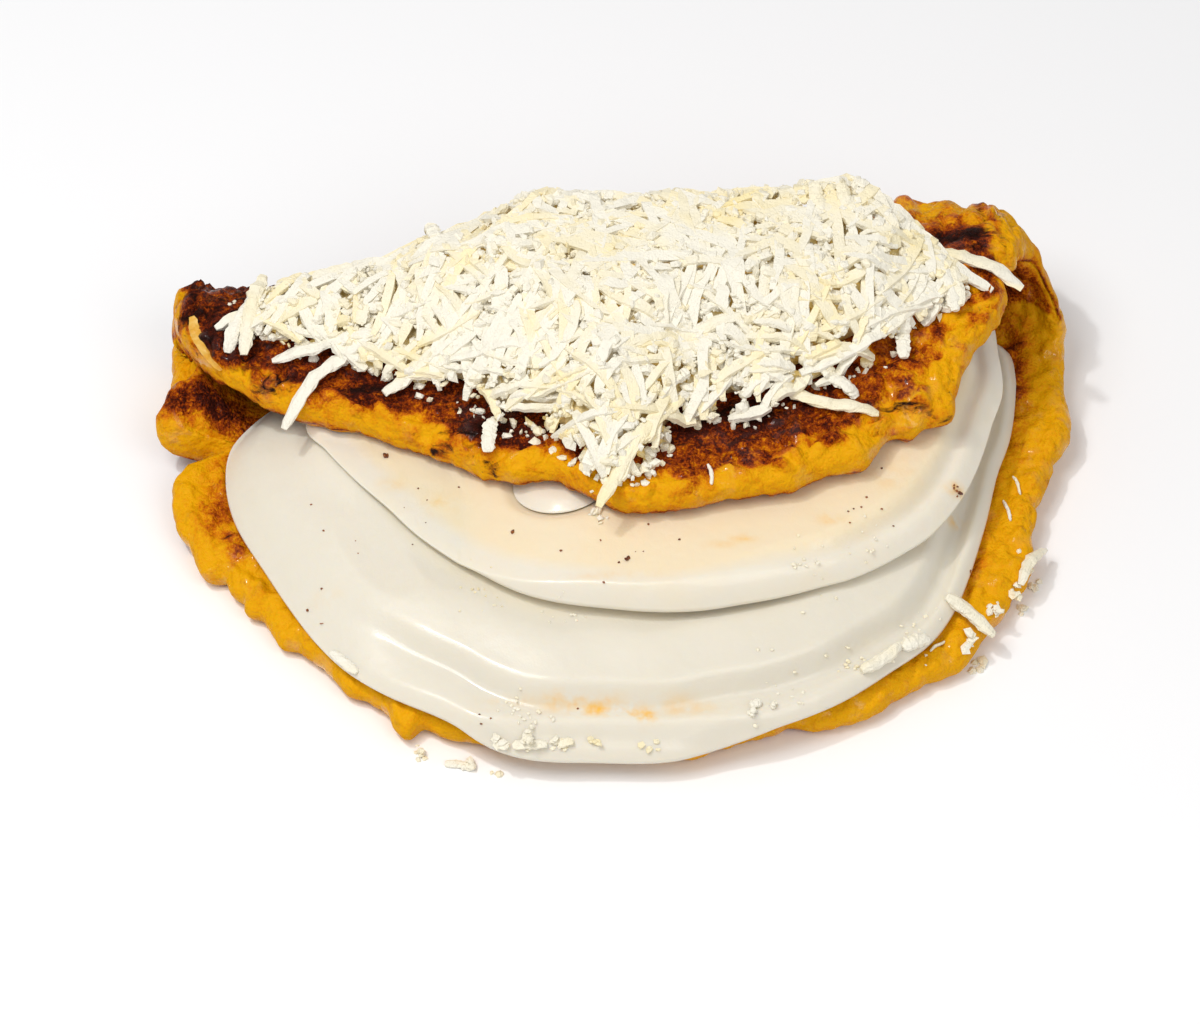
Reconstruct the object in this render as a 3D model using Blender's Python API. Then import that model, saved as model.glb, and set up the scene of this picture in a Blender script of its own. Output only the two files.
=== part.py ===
"""A cachapa: a thick corn pancake folded in half over slabs of soft white cheese, with a heap of
grated cheese on top. The fold is at the back, +Y, and the open side faces the front, -Y.

Shapes are worked out in millimetres, with y = 0 at the pancake's front edge and z = 0 on the table.
The last step turns them into metres and puts the origin under the middle of the whole.
"""

import math
import random

import bmesh
import bpy
from mathutils import Vector, noise

MM = 0.001

# The pancake, laid flat: two half discs joined by a short straight stretch.
PANCAKE_RADIUS = 109.0
PANCAKE_STRAIGHT = 17.0
PANCAKE_SQUARENESS = 2.2
PANCAKE_THICKNESS = 9.0
PANCAKE_RINGS = 34
PANCAKE_SPOKES = 230
PANCAKE_TRIANGLES = 4300

# Along the flat pancake, from its front edge: where the fold ends and the flap starts.
FRONT_TO_CENTRE = PANCAKE_RADIUS + PANCAKE_STRAIGHT
FLAP_START = 54.0
FLAP_NARROWING = 0.075

# Stations from left to right: where the fold starts, how tall it is, how far the flap sinks.
FOLD_START = ((-112, 112.0), (-60, 118.0), (0, 121.5), (60, 123.0), (112, 116.0))
FOLD_HEIGHT = ((-112, 32.0), (-60, 39.0), (0, 43.0), (60, 47.0), (112, 43.0))
FLAP_SINK = ((-112, 8.0), (-60, 7.0), (0, 3.0), (60, 5.5), (112, 7.0))
FLAP_SINK_LENGTH = 58.0
FLAP_WAVE, FLAP_WAVE_SIZE = 0.8, 38.0

# Bumps and notches of the rim: direction in degrees from +X, half width in degrees, reach in mm.
RIM_FEATURES = (
    (-166.2, 1.7, -18.0),  # the crack beside the fold
    (-171.5, 2.6, 5.0),  # the hump that the crack sets free
    (-178.0, 2.2, -7.0),
    (173.5, 4.0, 3.0),
    (164.0, 2.5, -4.0),
    (126.0, 20.0, -12.0),
    (-158.0, 5.0, 3.0),
    (-148.0, 2.0, -2.0),
    (-140.0, 4.0, 3.0),
    (-113.0, 2.0, 6.0),  # a drop of batter on the front edge
    (-88.0, 15.0, -5.0),  # the edge under the overhanging cheese
    (-28.0, 9.0, 2.0),
    (24.0, 2.4, -8.0),  # the pocket where flap and fold part
    (49.0, 7.0, 7.0),
    (66.0, 12.0, 4.0),
    (96.0, 6.0, 2.5),
)
RIM_WAVE, RIM_WAVE_SIZE = 1.5, 26.0
RIM_CRAGS, RIM_CRAG_SIZE = 1.3, 7.0
LUMPS, LUMP_SIZE = 0.9, 6.5
SWELLS, SWELL_SIZE = 0.6, 13.0

# Where the lower half rises off the table: both its sides curl up, and a hump stands beside the crack.
CURL_HEIGHT = 3.5
CURL_ACROSS = (88.0, 114.0)
CURL_BACK = (25.0, 70.0)
HUMP_PLACE = (-112.0, 97.0)
HUMP_SPREAD = (17.0, 8.0)
HUMP_HEIGHT = 9.0

# The cheese: a thick slab on the pancake, a second one on it, and a small slice that just peeks out.
CHEESE_GAP = 0.55
SLAB_CENTRE_Y = 109.0
LOWER_SLAB_TOP = 22.5
LOWER_SLAB_INSET = (
    (-180, 34.0),
    (-172, 17.0),
    (-160, 10.5),
    (-138, 9.0),
    (-112, 4.5),
    (-90, -2.5),
    (-70, 1.5),
    (-50, 8.5),
    (-28, 12.0),
    (0, 13.0),
)
LOWER_SLAB_BACK = 17.0
LOWER_SLAB_DROOP = 4.2
LIP_HEIGHT = 5.5
LIP_GROOVE = (0.6, 2.5)
LOWER_TROUGH = 1.3
UPPER_SLAB_TOP = 33.0
UPPER_SLAB_INSET = (
    (-180, 52.0),
    (-160, 33.0),
    (-140, 33.0),
    (-112, 32.0),
    (-90, 29.0),
    (-70, 28.0),
    (-50, 25.0),
    (-30, 17.0),
    (-12, 12.5),
    (0, 13.0),
)
UPPER_SLAB_BACK = 16.0
UPPER_SLAB_CROWN = 1.5
UPPER_GROOVE = 2.2
SLAB_TUCK = 1.8
SLAB_LEAST = 1.0
SLAB_RINGS = 26
SLAB_SPOKES = 150
SLAB_TRIANGLES = 1250
SMALL_SLICE_PLACE = (-15.0, 60.0)
SMALL_SLICE_HALF = (12.5, 11.5)
SMALL_SLICE_HEIGHT = 3.4
SMALL_SLICE_ROOM = 3.5
SMALL_SLICE_GAP = 0.9
SMALL_SLICE_LIP = 1.6
SMALL_SLICE_TRIANGLES = 240

# The heap of grated cheese, from left to right: its middle line, its half depth and its height.
HEAP_MIDDLE = (
    (-88, 106.0),
    (-66, 103.0),
    (-32, 104.0),
    (-12, 99.0),
    (3, 96.0),
    (20, 102.0),
    (62, 106.0),
    (90, 111.0),
)
HEAP_HALF_DEPTH = (
    (-88, 4.0),
    (-66, 13.0),
    (-32, 25.0),
    (-12, 31.0),
    (3, 36.0),
    (20, 29.0),
    (62, 26.0),
    (90, 4.0),
)
HEAP_HEIGHT = ((-88, 3.0), (-50, 6.5), (0, 10.0), (40, 10.0), (90, 3.5))
HEAP_GAP = 1.3
HEAP_ROUND = 0.5
HEAP_LUMPS, HEAP_LUMP_SIZE = 0.22, 11.0
HEAP_SIDES = 40
HEAP_STEPS = 56
HEAP_TRIANGLES = 640

# The shreds: loose ones over the whole heap, and those that stand out at its edge, each with its
# two ends and how far it bends aside.
SHRED_WIDTH = 3.5
SHRED_THICKNESS = 2.6
SHRED_STEPS = 3
SHRED_COUNT = 54
SHRED_LENGTHS = (14.0, 30.0)
SHRED_LIFT = 1.0
SHRED_OVERHANG = 1.12
GOLDEN_SHARE = 0.618034
SHRED_SEED = 11
EDGE_SHREDS = (
    ((-79.0, 80.0), (-60.0, 97.0), 4.0),
    ((-82.0, 92.0), (-63.0, 93.5), -1.0),
    ((-56.0, 83.0), (-39.0, 90.0), 2.0),
    ((-4.0, 44.5), (12.0, 70.0), 3.0),
    ((38.0, 80.0), (61.0, 75.5), -1.0),
    ((45.0, 83.0), (74.0, 104.0), -2.0),
    ((73.0, 117.0), (97.0, 109.0), 2.0),
    ((-93.0, 96.0), (-84.0, 110.0), 1.0),
    ((-88.0, 94.0), (-81.0, 106.0), 0.0),
    ((-30.0, 63.0), (-29.0, 79.0), 1.0),
    ((66.0, 90.0), (72.0, 106.0), -2.0),
    ((52.0, 86.0), (74.0, 96.0), 3.0),
)

SHARP_ANGLE = 50.0
COLOURS = {
    "pancake": (0.72, 0.34, 0.04),
    "soft_cheese": (0.86, 0.82, 0.69),
    "grated_cheese": (0.91, 0.88, 0.76),
}


def clear_scene():
    for obj in list(bpy.data.objects):
        bpy.data.objects.remove(obj)


def ramp(value, low, high):
    """0 below low, 1 above high, and smooth between them."""
    share = min(1.0, max(0.0, (value - low) / (high - low)))
    return share * share * (3 - 2 * share)


def bell(value, middle, spread):
    return math.exp(-(((value - middle) / spread) ** 2))


def along(stations, value):
    """The value at a place between stations, with a smooth turn at each."""
    if value <= stations[0][0]:
        return stations[0][1]
    for (low, first), (high, second) in zip(stations, stations[1:]):
        if value <= high:
            return first + (second - first) * ramp(value, low, high)
    return stations[-1][1]


def turn_between(angle, middle):
    """How far an angle is from another, in degrees, the short way round."""
    return (angle - middle + 180.0) % 360.0 - 180.0


def rough(x, y, z, size):
    """Smooth noise from -1 to 1, whose lumps are about size across."""
    return noise.noise(Vector((x, y, z)) / size)


# The pancake


def rounded_reach(angle, radius, squareness):
    """Distance from the centre to the edge of a disc that is a little square."""
    across, ahead = abs(math.cos(angle)), abs(math.sin(angle))
    return radius / (across**squareness + ahead**squareness) ** (1 / squareness)


def rim_reach(angle):
    """How much the rim stands out beyond its plain outline, in the direction of angle."""
    degrees = math.degrees(angle)
    reach = sum(
        height * bell(turn_between(degrees, middle), 0.0, spread)
        for middle, spread, height in RIM_FEATURES
    )
    across, ahead = math.cos(angle) * PANCAKE_RADIUS, math.sin(angle) * PANCAKE_RADIUS
    reach += RIM_WAVE * rough(across, ahead, 3.0, RIM_WAVE_SIZE)
    return reach + RIM_CRAGS * rough(across, ahead, 9.0, RIM_CRAG_SIZE)


def flat_place(angle, share):
    """Place on the flat pancake: across, and ahead of the centre, towards the flap's edge."""
    plain = rounded_reach(angle, PANCAKE_RADIUS, PANCAKE_SQUARENESS)
    reach = share * (plain + rim_reach(angle) * ramp(share, 0.55, 1.0))
    ahead = reach * math.sin(angle)
    stretch = PANCAKE_STRAIGHT * math.tanh(ahead / (1.2 * PANCAKE_STRAIGHT))
    return reach * math.cos(angle), ahead + stretch


def fold_radius(x):
    """Radius of the fold's middle layer."""
    return (along(FOLD_HEIGHT, x) - PANCAKE_THICKNESS) / 2


def flap_middle(x, y):
    """Height of the middle of the flap's thickness."""
    top = PANCAKE_THICKNESS / 2 + 2 * fold_radius(x)
    ahead = along(FOLD_START, x) - y
    sink = along(FLAP_SINK, x) * ramp(ahead, 4.0, FLAP_SINK_LENGTH)
    wave = FLAP_WAVE * rough(x, y, 0.0, FLAP_WAVE_SIZE) * ramp(ahead, 0.0, 20.0)
    return top - sink + wave


def base_lift(x, y):
    """How far the lower half rises off the table."""
    curl = CURL_HEIGHT * ramp(abs(x), *CURL_ACROSS) * ramp(y, *CURL_BACK)
    hump = HUMP_HEIGHT * bell(x, HUMP_PLACE[0], HUMP_SPREAD[0]) * bell(y, HUMP_PLACE[1], HUMP_SPREAD[1])
    return curl + hump


def folded(across, ahead, inward):
    """Place in the folded pancake of a point of the flat one, inward towards the cheese."""
    x = across
    if across > 0:
        x -= across * FLAP_NARROWING * ramp(ahead, FLAP_START - 22.0, FLAP_START + 6.0)
    fold_y = along(FOLD_START, x)
    fold_ahead = fold_y - FRONT_TO_CENTRE
    half = PANCAKE_THICKNESS / 2
    if ahead <= fold_ahead:
        y = ahead + FRONT_TO_CENTRE
        return Vector((x, y, half + inward + base_lift(x, y)))
    radius = fold_radius(x)
    if ahead < FLAP_START:
        turn = math.pi * (ahead - fold_ahead) / (FLAP_START - fold_ahead)
        y = fold_y + (radius - inward) * math.sin(turn)
        z = half + radius - (radius - inward) * math.cos(turn)
        lift = base_lift(x, fold_y) * (1 + math.cos(turn)) / 2
        return Vector((x, y, z + lift))
    y = fold_y - (ahead - FLAP_START)
    return Vector((x, y, flap_middle(x, y) - inward))


def pancake_profile():
    """The flat pancake's section from the centre of one face round the rim to the other: share, inward."""
    half = PANCAKE_THICKNESS / 2
    flat = 1.0 - half / PANCAKE_RADIUS
    face = [flat * (ring / PANCAKE_RINGS) ** 0.85 for ring in range(PANCAKE_RINGS)]
    rim = [
        (flat + (1.0 - flat) * math.cos(turn), half * math.sin(turn))
        for turn in (math.radians(step) for step in range(90, -91, -20))
    ]
    return [(share, half) for share in face] + rim + [(share, -half) for share in reversed(face)]


def turned(profile, spokes):
    """A bmesh turned about Z from a profile of (radius, height) that starts and ends on the axis."""
    mesh = bmesh.new()
    line = [mesh.verts.new((radius, 0.0, height)) for radius, height in profile]
    edges = [mesh.edges.new(pair) for pair in zip(line, line[1:])]
    bmesh.ops.spin(
        mesh,
        geom=line + edges,
        cent=(0, 0, 0),
        axis=(0, 0, 1),
        angle=math.tau,
        steps=spokes,
        use_merge=True,
    )
    bmesh.ops.remove_doubles(mesh, verts=mesh.verts, dist=1e-5)
    bmesh.ops.recalc_face_normals(mesh, faces=mesh.faces)
    return mesh


def pancake_relief(across, ahead, share, inward):
    """Lumps of corn, strongest at the rim, as a change of thickness. A face with cheese on it only sinks."""
    at_rim = ramp(share, 0.80, 0.97)
    lumps = LUMPS * rough(across, ahead, inward, LUMP_SIZE)
    lumps += SWELLS * rough(across, ahead, 40.0 + inward, SWELL_SIZE)
    if inward > 0:
        return at_rim * (lumps - LUMPS)
    on_flap = ramp(ahead, FLAP_START - 50.0, FLAP_START - 20.0)
    return on_flap * (0.35 + 0.65 * at_rim) * lumps


def make_pancake():
    mesh = turned(pancake_profile(), PANCAKE_SPOKES)
    half = PANCAKE_THICKNESS / 2
    for vert in mesh.verts:
        share, angle = math.hypot(vert.co.x, vert.co.y), math.atan2(vert.co.y, vert.co.x)
        across, ahead = flat_place(angle, share)
        side = vert.co.z / half
        inward = vert.co.z + side * pancake_relief(across, ahead, share, vert.co.z)
        vert.co = folded(across, ahead, inward)
        vert.co.z = max(vert.co.z, 0.0)
    return mesh


# The slabs of cheese


def pocket_reach(x, y):
    """How far the fold's inner face stands above and below its middle, at a place inside the fold."""
    inner = fold_radius(x) - PANCAKE_THICKNESS / 2
    behind = min(max(0.0, y - along(FOLD_START, x)), inner)
    return math.sqrt(inner * inner - behind * behind)


def pocket_floor(x, y):
    """The height from which the cheese may start: on the pancake, and inside the fold behind it."""
    half = PANCAKE_THICKNESS / 2
    if y <= along(FOLD_START, x):
        return PANCAKE_THICKNESS + base_lift(x, y)
    return half + fold_radius(x) - pocket_reach(x, y) + base_lift(x, y)


def pocket_ceiling(x, y):
    """The height that the cheese may reach: under the flap, and inside the fold behind it."""
    half = PANCAKE_THICKNESS / 2
    if y <= along(FOLD_START, x):
        return flap_middle(x, y) - half
    return half + fold_radius(x) + pocket_reach(x, y)


def lower_slab_skin(inset, degrees, crest):
    """Height above the pancake of the lower slab's skin, inset mm inside its edge: lip, groove and bulge."""
    groove_depth = along(((-100.0, LIP_GROOVE[0]), (-45.0, LIP_GROOVE[1])), degrees)
    lip = LIP_HEIGHT * math.sqrt(ramp(inset, -1.5, 5.0))
    bulge = (crest - LIP_HEIGHT) * ramp(inset, 2.0, 23.0)
    groove = groove_depth * bell(inset, 9.0, 3.2)
    trough = LOWER_TROUGH * bell(inset, 31.0, 6.5)
    return lip + bulge - groove - trough


def upper_slab_skin(inset, degrees, crest):
    """Height of the upper slab's skin above its underside: steep at the side, grooved on the right."""
    on_right = ramp(degrees, -75.0, -35.0)
    side = (crest - UPPER_SLAB_CROWN) * math.sqrt(ramp(inset, -1.5, 6.5 + 5.0 * on_right))
    crown = UPPER_SLAB_CROWN * ramp(inset, 4.0, 20.0)
    groove = UPPER_GROOVE * on_right * bell(inset, 6.5, 2.4)
    return side + crown - groove


def slab_profile():
    """A unit slab from the middle of its top, over its edge, to the middle of its underside."""
    top = [1.0 - (1.0 - ring / SLAB_RINGS) ** 1.7 for ring in range(SLAB_RINGS)]
    under = [1.0 - (1.0 - ring / 12) ** 1.7 for ring in range(12)]
    return [(share, 1.0) for share in top] + [(1.0, 0.35)] + [(share, 0.0) for share in reversed(under)]


def slab_reach(angle, insets, back):
    """Distance from the slab's centre to its edge, cut off straight at the back, inside the fold."""
    degrees = math.degrees(angle)
    sides = rounded_reach(angle, PANCAKE_RADIUS, PANCAKE_SQUARENESS)
    sides -= along(insets, degrees if degrees <= 0 else -180.0 if degrees > 90 else 0.0)
    sides += 1.0 * rough(math.cos(angle) * 90.0, math.sin(angle) * 90.0, 5.0, 30.0)
    if degrees <= 0:
        return sides
    straight = back / max(math.sin(angle), 1e-6)
    return 1.0 / (sides**-6 + straight**-6) ** (1 / 6)


def make_slab(insets, back, base, skin, crest):
    """A slab of cheese from its base to its skin, both held clear of the pancake round it.

    Its edge is tucked in underneath, and it is nowhere thinner than SLAB_LEAST.
    """
    mesh = turned(slab_profile(), SLAB_SPOKES)
    for vert in mesh.verts:
        share, angle = math.hypot(vert.co.x, vert.co.y), math.atan2(vert.co.y, vert.co.x)
        reach = slab_reach(angle, insets, back)
        x, y = share * reach * math.cos(angle), SLAB_CENTRE_Y + share * reach * math.sin(angle)
        inset = (1.0 - share) * reach
        bed = max(base, pocket_floor(x, y) + CHEESE_GAP)
        high = base + skin(inset, min(math.degrees(angle), 0.0), crest)
        high = max(min(high, pocket_ceiling(x, y) - CHEESE_GAP), bed + SLAB_LEAST)
        low = min(bed + SLAB_TUCK * ramp(-inset, -4.0, 0.0), high - SLAB_LEAST)
        vert.co = Vector((x, y, low + (high - low) * vert.co.z))
    return mesh


def make_lower_slab():
    """The lower slab, whose front sags over the edge of the pancake."""
    base = PANCAKE_THICKNESS + CHEESE_GAP
    mesh = make_slab(LOWER_SLAB_INSET, LOWER_SLAB_BACK, base, lower_slab_skin, LOWER_SLAB_TOP - base)
    for vert in mesh.verts:
        past = ramp(-vert.co.y, -4.0, 1.5) * bell(vert.co.x, 4.0, 52.0)
        vert.co.z -= LOWER_SLAB_DROOP * past
    return mesh


def slice_bed(x, y):
    """Depth of the hollow in the upper slab that the small slice lies in."""
    across = (x - SMALL_SLICE_PLACE[0]) / (SMALL_SLICE_HALF[0] + SMALL_SLICE_ROOM)
    ahead = (y - SMALL_SLICE_PLACE[1]) / (SMALL_SLICE_HALF[1] + SMALL_SLICE_ROOM)
    return SMALL_SLICE_HEIGHT * ramp(1.0 - math.hypot(across, ahead), 0.0, 0.45)


def make_upper_slab():
    base = LOWER_SLAB_TOP + CHEESE_GAP
    mesh = make_slab(UPPER_SLAB_INSET, UPPER_SLAB_BACK, base, upper_slab_skin, UPPER_SLAB_TOP - base)
    for vert in mesh.verts:
        if vert.co.z > base + SLAB_TUCK + 0.2:
            vert.co.z -= slice_bed(vert.co.x, vert.co.y)
    return mesh


def make_small_slice():
    """The slice between the upper slab and the flap, whose round front end peeks out."""
    mesh = turned(slab_profile(), 40)
    for vert in mesh.verts:
        x = SMALL_SLICE_PLACE[0] + vert.co.x * SMALL_SLICE_HALF[0]
        y = SMALL_SLICE_PLACE[1] + vert.co.y * SMALL_SLICE_HALF[1]
        share = math.hypot(vert.co.x, vert.co.y)
        ceiling = min(UPPER_SLAB_TOP, pocket_ceiling(x, y) - CHEESE_GAP)
        low = ceiling - slice_bed(x, y) + SMALL_SLICE_GAP
        high = low + (ceiling - low) * math.sqrt(max(0.0, 1.0 - share**4))
        high += SMALL_SLICE_LIP * ramp(-y, -55.0, -50.0) * (1.0 - share**6)
        vert.co = Vector((x, y, low + max(high - low, 0.25) * vert.co.z))
    return mesh


# The grated cheese


def flap_top(x, y):
    return flap_middle(x, y) + PANCAKE_THICKNESS / 2


def heap_share(x, y):
    """0 on the heap's middle line and 1 at its edge."""
    return abs(y - along(HEAP_MIDDLE, x)) / along(HEAP_HALF_DEPTH, x)


def heap_top(x, y):
    """Height of the bare heap, or of the flap with its gap where there is no heap."""
    dome = math.sqrt(max(0.0, 1.0 - heap_share(x, y) ** 2))
    ends = ramp(x, HEAP_MIDDLE[0][0] - 0.1, -70.0) * ramp(-x, -HEAP_MIDDLE[-1][0] - 0.1, -74.0)
    lumps = 1.0 + HEAP_LUMPS * rough(x, y, 60.0, HEAP_LUMP_SIZE)
    return flap_top(x, y) + HEAP_GAP + along(HEAP_HEIGHT, x) * dome * math.sqrt(ends) * lumps


def make_heap_core():
    """The heap without its shreds, as sections from its front edge over the top and back under."""
    mesh = bmesh.new()
    left, right = HEAP_MIDDLE[0][0], HEAP_MIDDLE[-1][0]
    loops = []
    for step in range(HEAP_STEPS + 1):
        x = left + (right - left) * step / HEAP_STEPS
        middle, half = along(HEAP_MIDDLE, x), along(HEAP_HALF_DEPTH, x)
        turns = [math.tau * corner / HEAP_SIDES for corner in range(HEAP_SIDES)]
        places = [(middle - half * math.cos(turn), math.sin(turn) > 0) for turn in turns]
        loops.append([
            mesh.verts.new((x, y, heap_top(x, y) + HEAP_ROUND if upper else flap_top(x, y) + HEAP_GAP))
            for y, upper in places
        ])
    for first, second in zip(loops, loops[1:]):
        for corner in range(len(first)):
            following = (corner + 1) % len(first)
            mesh.faces.new((first[corner], second[corner], second[following], first[following]))
    mesh.faces.new(loops[0])
    mesh.faces.new(list(reversed(loops[-1])))
    bmesh.ops.recalc_face_normals(mesh, faces=mesh.faces)
    return mesh


def make_shred(line):
    """A flat-sided strip of cheese along a line of places."""
    mesh = bmesh.new()
    rings = []
    for step, place in enumerate(line):
        before, after = line[max(0, step - 1)], line[min(len(line) - 1, step + 1)]
        side = (after - before).cross(Vector((0, 0, 1))).normalized() * SHRED_WIDTH / 2
        up = Vector((0, 0, SHRED_THICKNESS / 2))
        slim = 0.8 if step in (0, len(line) - 1) else 1.0
        corners = ((-1, -1), (1, -1), (1, 1), (-1, 1))
        rings.append([mesh.verts.new(place + slim * (across * side + rise * up)) for across, rise in corners])
    for first, second in zip(rings, rings[1:]):
        for corner in range(4):
            following = (corner + 1) % 4
            mesh.faces.new((first[corner], second[corner], second[following], first[following]))
    mesh.faces.new(rings[0])
    mesh.faces.new(list(reversed(rings[-1])))
    bmesh.ops.recalc_face_normals(mesh, faces=mesh.faces)
    return mesh


def shred_line(start, end, bend, lift):
    """Places of a bent shred that lies on the heap between two places in plan, lifted at its far end."""
    start, end = Vector(start), Vector(end)
    aside = Vector((start.y - end.y, end.x - start.x)).normalized() * bend
    line = []
    for step in range(SHRED_STEPS + 1):
        share = step / SHRED_STEPS
        flat = start.lerp(end, share) + aside * math.sin(math.pi * share)
        line.append(Vector((flat.x, flat.y, heap_top(flat.x, flat.y) + SHRED_LIFT + lift * share)))
    level = [place.z for place in line]
    for step in range(1, SHRED_STEPS):
        line[step].z = max(level[step], (level[step - 1] + level[step + 1]) / 2)
    return line


def scattered_shreds(draw):
    """Shreds spread evenly over the whole heap, each lying about where it fell."""
    lines = []
    left, right = HEAP_MIDDLE[0][0] + 9.0, HEAP_MIDDLE[-1][0] - 9.0
    for count in range(SHRED_COUNT):
        x = left + (right - left) * (count + 0.5) / SHRED_COUNT
        across = 2.0 * (count * GOLDEN_SHARE % 1.0) - 1.0
        middle = Vector((x, along(HEAP_MIDDLE, x) + 0.85 * across * along(HEAP_HALF_DEPTH, x)))
        for attempt in range(20):
            heading = draw.uniform(0.0, math.tau)
            reach = Vector((math.cos(heading), math.sin(heading))) * draw.uniform(*SHRED_LENGTHS) / 2
            if max(heap_share(*(middle - reach)), heap_share(*(middle + reach))) < SHRED_OVERHANG:
                bend, lift = draw.uniform(-3.0, 3.0), draw.uniform(0.0, 2.5)
                lines.append(shred_line(middle - reach, middle + reach, bend, lift))
                break
    return lines


def largest_piece(mesh):
    """Removes every piece of a mesh but the largest."""
    unseen = set(mesh.verts)
    pieces = []
    while unseen:
        piece, edge = set(), [unseen.pop()]
        while edge:
            vert = edge.pop()
            piece.add(vert)
            near = {other for link in vert.link_edges for other in link.verts} & unseen
            unseen -= near
            edge.extend(near)
        pieces.append(piece)
    pieces.sort(key=len)
    for piece in pieces[:-1]:
        bmesh.ops.delete(mesh, geom=list(piece), context="VERTS")
    return mesh


def make_grated_cheese():
    """The heap's core and its shreds, fused by one union."""
    core = bare_object("heap_core", make_heap_core())
    thin(core, HEAP_TRIANGLES)
    gathered = bpy.data.collections.new("shreds")
    bpy.context.scene.collection.children.link(gathered)
    lines = scattered_shreds(random.Random(SHRED_SEED))
    lines += [shred_line(start, end, bend, 0.8) for start, end, bend in EDGE_SHREDS]
    for line in lines:
        strip = bare_object("shred", make_shred(line))
        bpy.context.scene.collection.objects.unlink(strip)
        gathered.objects.link(strip)
    union = core.modifiers.new("Fuse", "BOOLEAN")
    union.operation = "UNION"
    union.operand_type = "COLLECTION"
    union.collection = gathered
    union.solver = "EXACT"
    fused = bmesh.new()
    fused.from_object(core, bpy.context.evaluated_depsgraph_get())
    for obj in [core, *gathered.objects]:
        bpy.data.objects.remove(obj)
    bpy.data.collections.remove(gathered)
    return largest_piece(fused)


# The whole


PARTS = (
    ("corn_pancake", make_pancake, PANCAKE_TRIANGLES, "pancake"),
    ("lower_cheese_slab", make_lower_slab, SLAB_TRIANGLES, "soft_cheese"),
    ("upper_cheese_slab", make_upper_slab, SLAB_TRIANGLES, "soft_cheese"),
    ("small_cheese_slice", make_small_slice, SMALL_SLICE_TRIANGLES, "soft_cheese"),
    ("grated_cheese", make_grated_cheese, None, "grated_cheese"),
)


def material(name):
    found = bpy.data.materials.get(name) or bpy.data.materials.new(name)
    found.use_nodes = True
    shader = found.node_tree.nodes["Principled BSDF"]
    shader.inputs["Base Color"].default_value = (*COLOURS[name], 1.0)
    shader.inputs["Roughness"].default_value = 0.45
    shader.inputs["Metallic"].default_value = 0.0
    return found


def bare_object(name, mesh):
    """An object from a bmesh, all triangles, with no material."""
    bmesh.ops.triangulate(mesh, faces=mesh.faces)
    data = bpy.data.meshes.new(name)
    mesh.to_mesh(data)
    mesh.free()
    obj = bpy.data.objects.new(name, data)
    bpy.context.scene.collection.objects.link(obj)
    return obj


def thin(obj, triangles):
    """Takes a mesh down to about that many triangles, most of them where its shape is busy."""
    fewer = obj.modifiers.new("Thin", "DECIMATE")
    fewer.ratio = min(1.0, triangles / len(obj.data.polygons))


def add_part(name, make, triangles, finish):
    """One finished part of the cachapa, in metres."""
    mesh = make()
    bmesh.ops.scale(mesh, vec=(MM, MM, MM), verts=mesh.verts)
    obj = bare_object(name, mesh)
    obj.data.shade_smooth()
    obj.data.set_sharp_from_angle(angle=math.radians(SHARP_ANGLE))
    obj.data.materials.append(material(finish))
    if triangles:
        thin(obj, triangles)
    return obj


def centre_on_origin(objects):
    """Moves the whole so that the origin is under the middle of its box."""
    bpy.context.view_layer.update()
    corners = [obj.matrix_world @ Vector(corner) for obj in objects for corner in obj.bound_box]
    middle_x = (min(corner.x for corner in corners) + max(corner.x for corner in corners)) / 2
    middle_y = (min(corner.y for corner in corners) + max(corner.y for corner in corners)) / 2
    for obj in objects:
        obj.location = (-middle_x, -middle_y, 0.0)
    bpy.context.view_layer.update()


def main():
    clear_scene()
    objects = [add_part(*part) for part in PARTS]
    centre_on_origin(objects)


main()
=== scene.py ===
import bisect
import math

import bmesh
import bpy
import numpy as np
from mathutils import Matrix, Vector, noise
from mathutils.bvhtree import BVHTree


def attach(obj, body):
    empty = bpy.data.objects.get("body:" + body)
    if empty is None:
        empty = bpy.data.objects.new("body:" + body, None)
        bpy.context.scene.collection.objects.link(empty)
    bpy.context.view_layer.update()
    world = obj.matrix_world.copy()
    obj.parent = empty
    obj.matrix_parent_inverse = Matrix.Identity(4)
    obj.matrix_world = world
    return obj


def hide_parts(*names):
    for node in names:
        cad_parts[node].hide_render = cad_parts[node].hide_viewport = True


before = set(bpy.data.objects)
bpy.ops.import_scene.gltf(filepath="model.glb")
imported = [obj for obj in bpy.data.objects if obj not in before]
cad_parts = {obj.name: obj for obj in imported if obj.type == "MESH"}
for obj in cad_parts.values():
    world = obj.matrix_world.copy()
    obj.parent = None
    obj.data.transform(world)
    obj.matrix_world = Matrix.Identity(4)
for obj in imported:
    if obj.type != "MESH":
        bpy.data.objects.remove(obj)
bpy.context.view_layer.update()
mm = 0.001
scene = bpy.context.scene
print("frame loaded:", ", ".join(sorted(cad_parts)))


# small maths, all of it in millimetres

def ramp(value, low, high):
    share = min(1.0, max(0.0, (value - low) / (high - low)))
    return share * share * (3 - 2 * share)


def bell(value, middle, spread):
    return math.exp(-(((value - middle) / spread) ** 2))


def along(stations, value):  # smooth steps between (place, amount) pairs
    if value <= stations[0][0]:
        return stations[0][1]
    for (low, first), (high, second) in zip(stations, stations[1:]):
        if value <= high:
            return first + (second - first) * ramp(value, low, high)
    return stations[-1][1]


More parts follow.
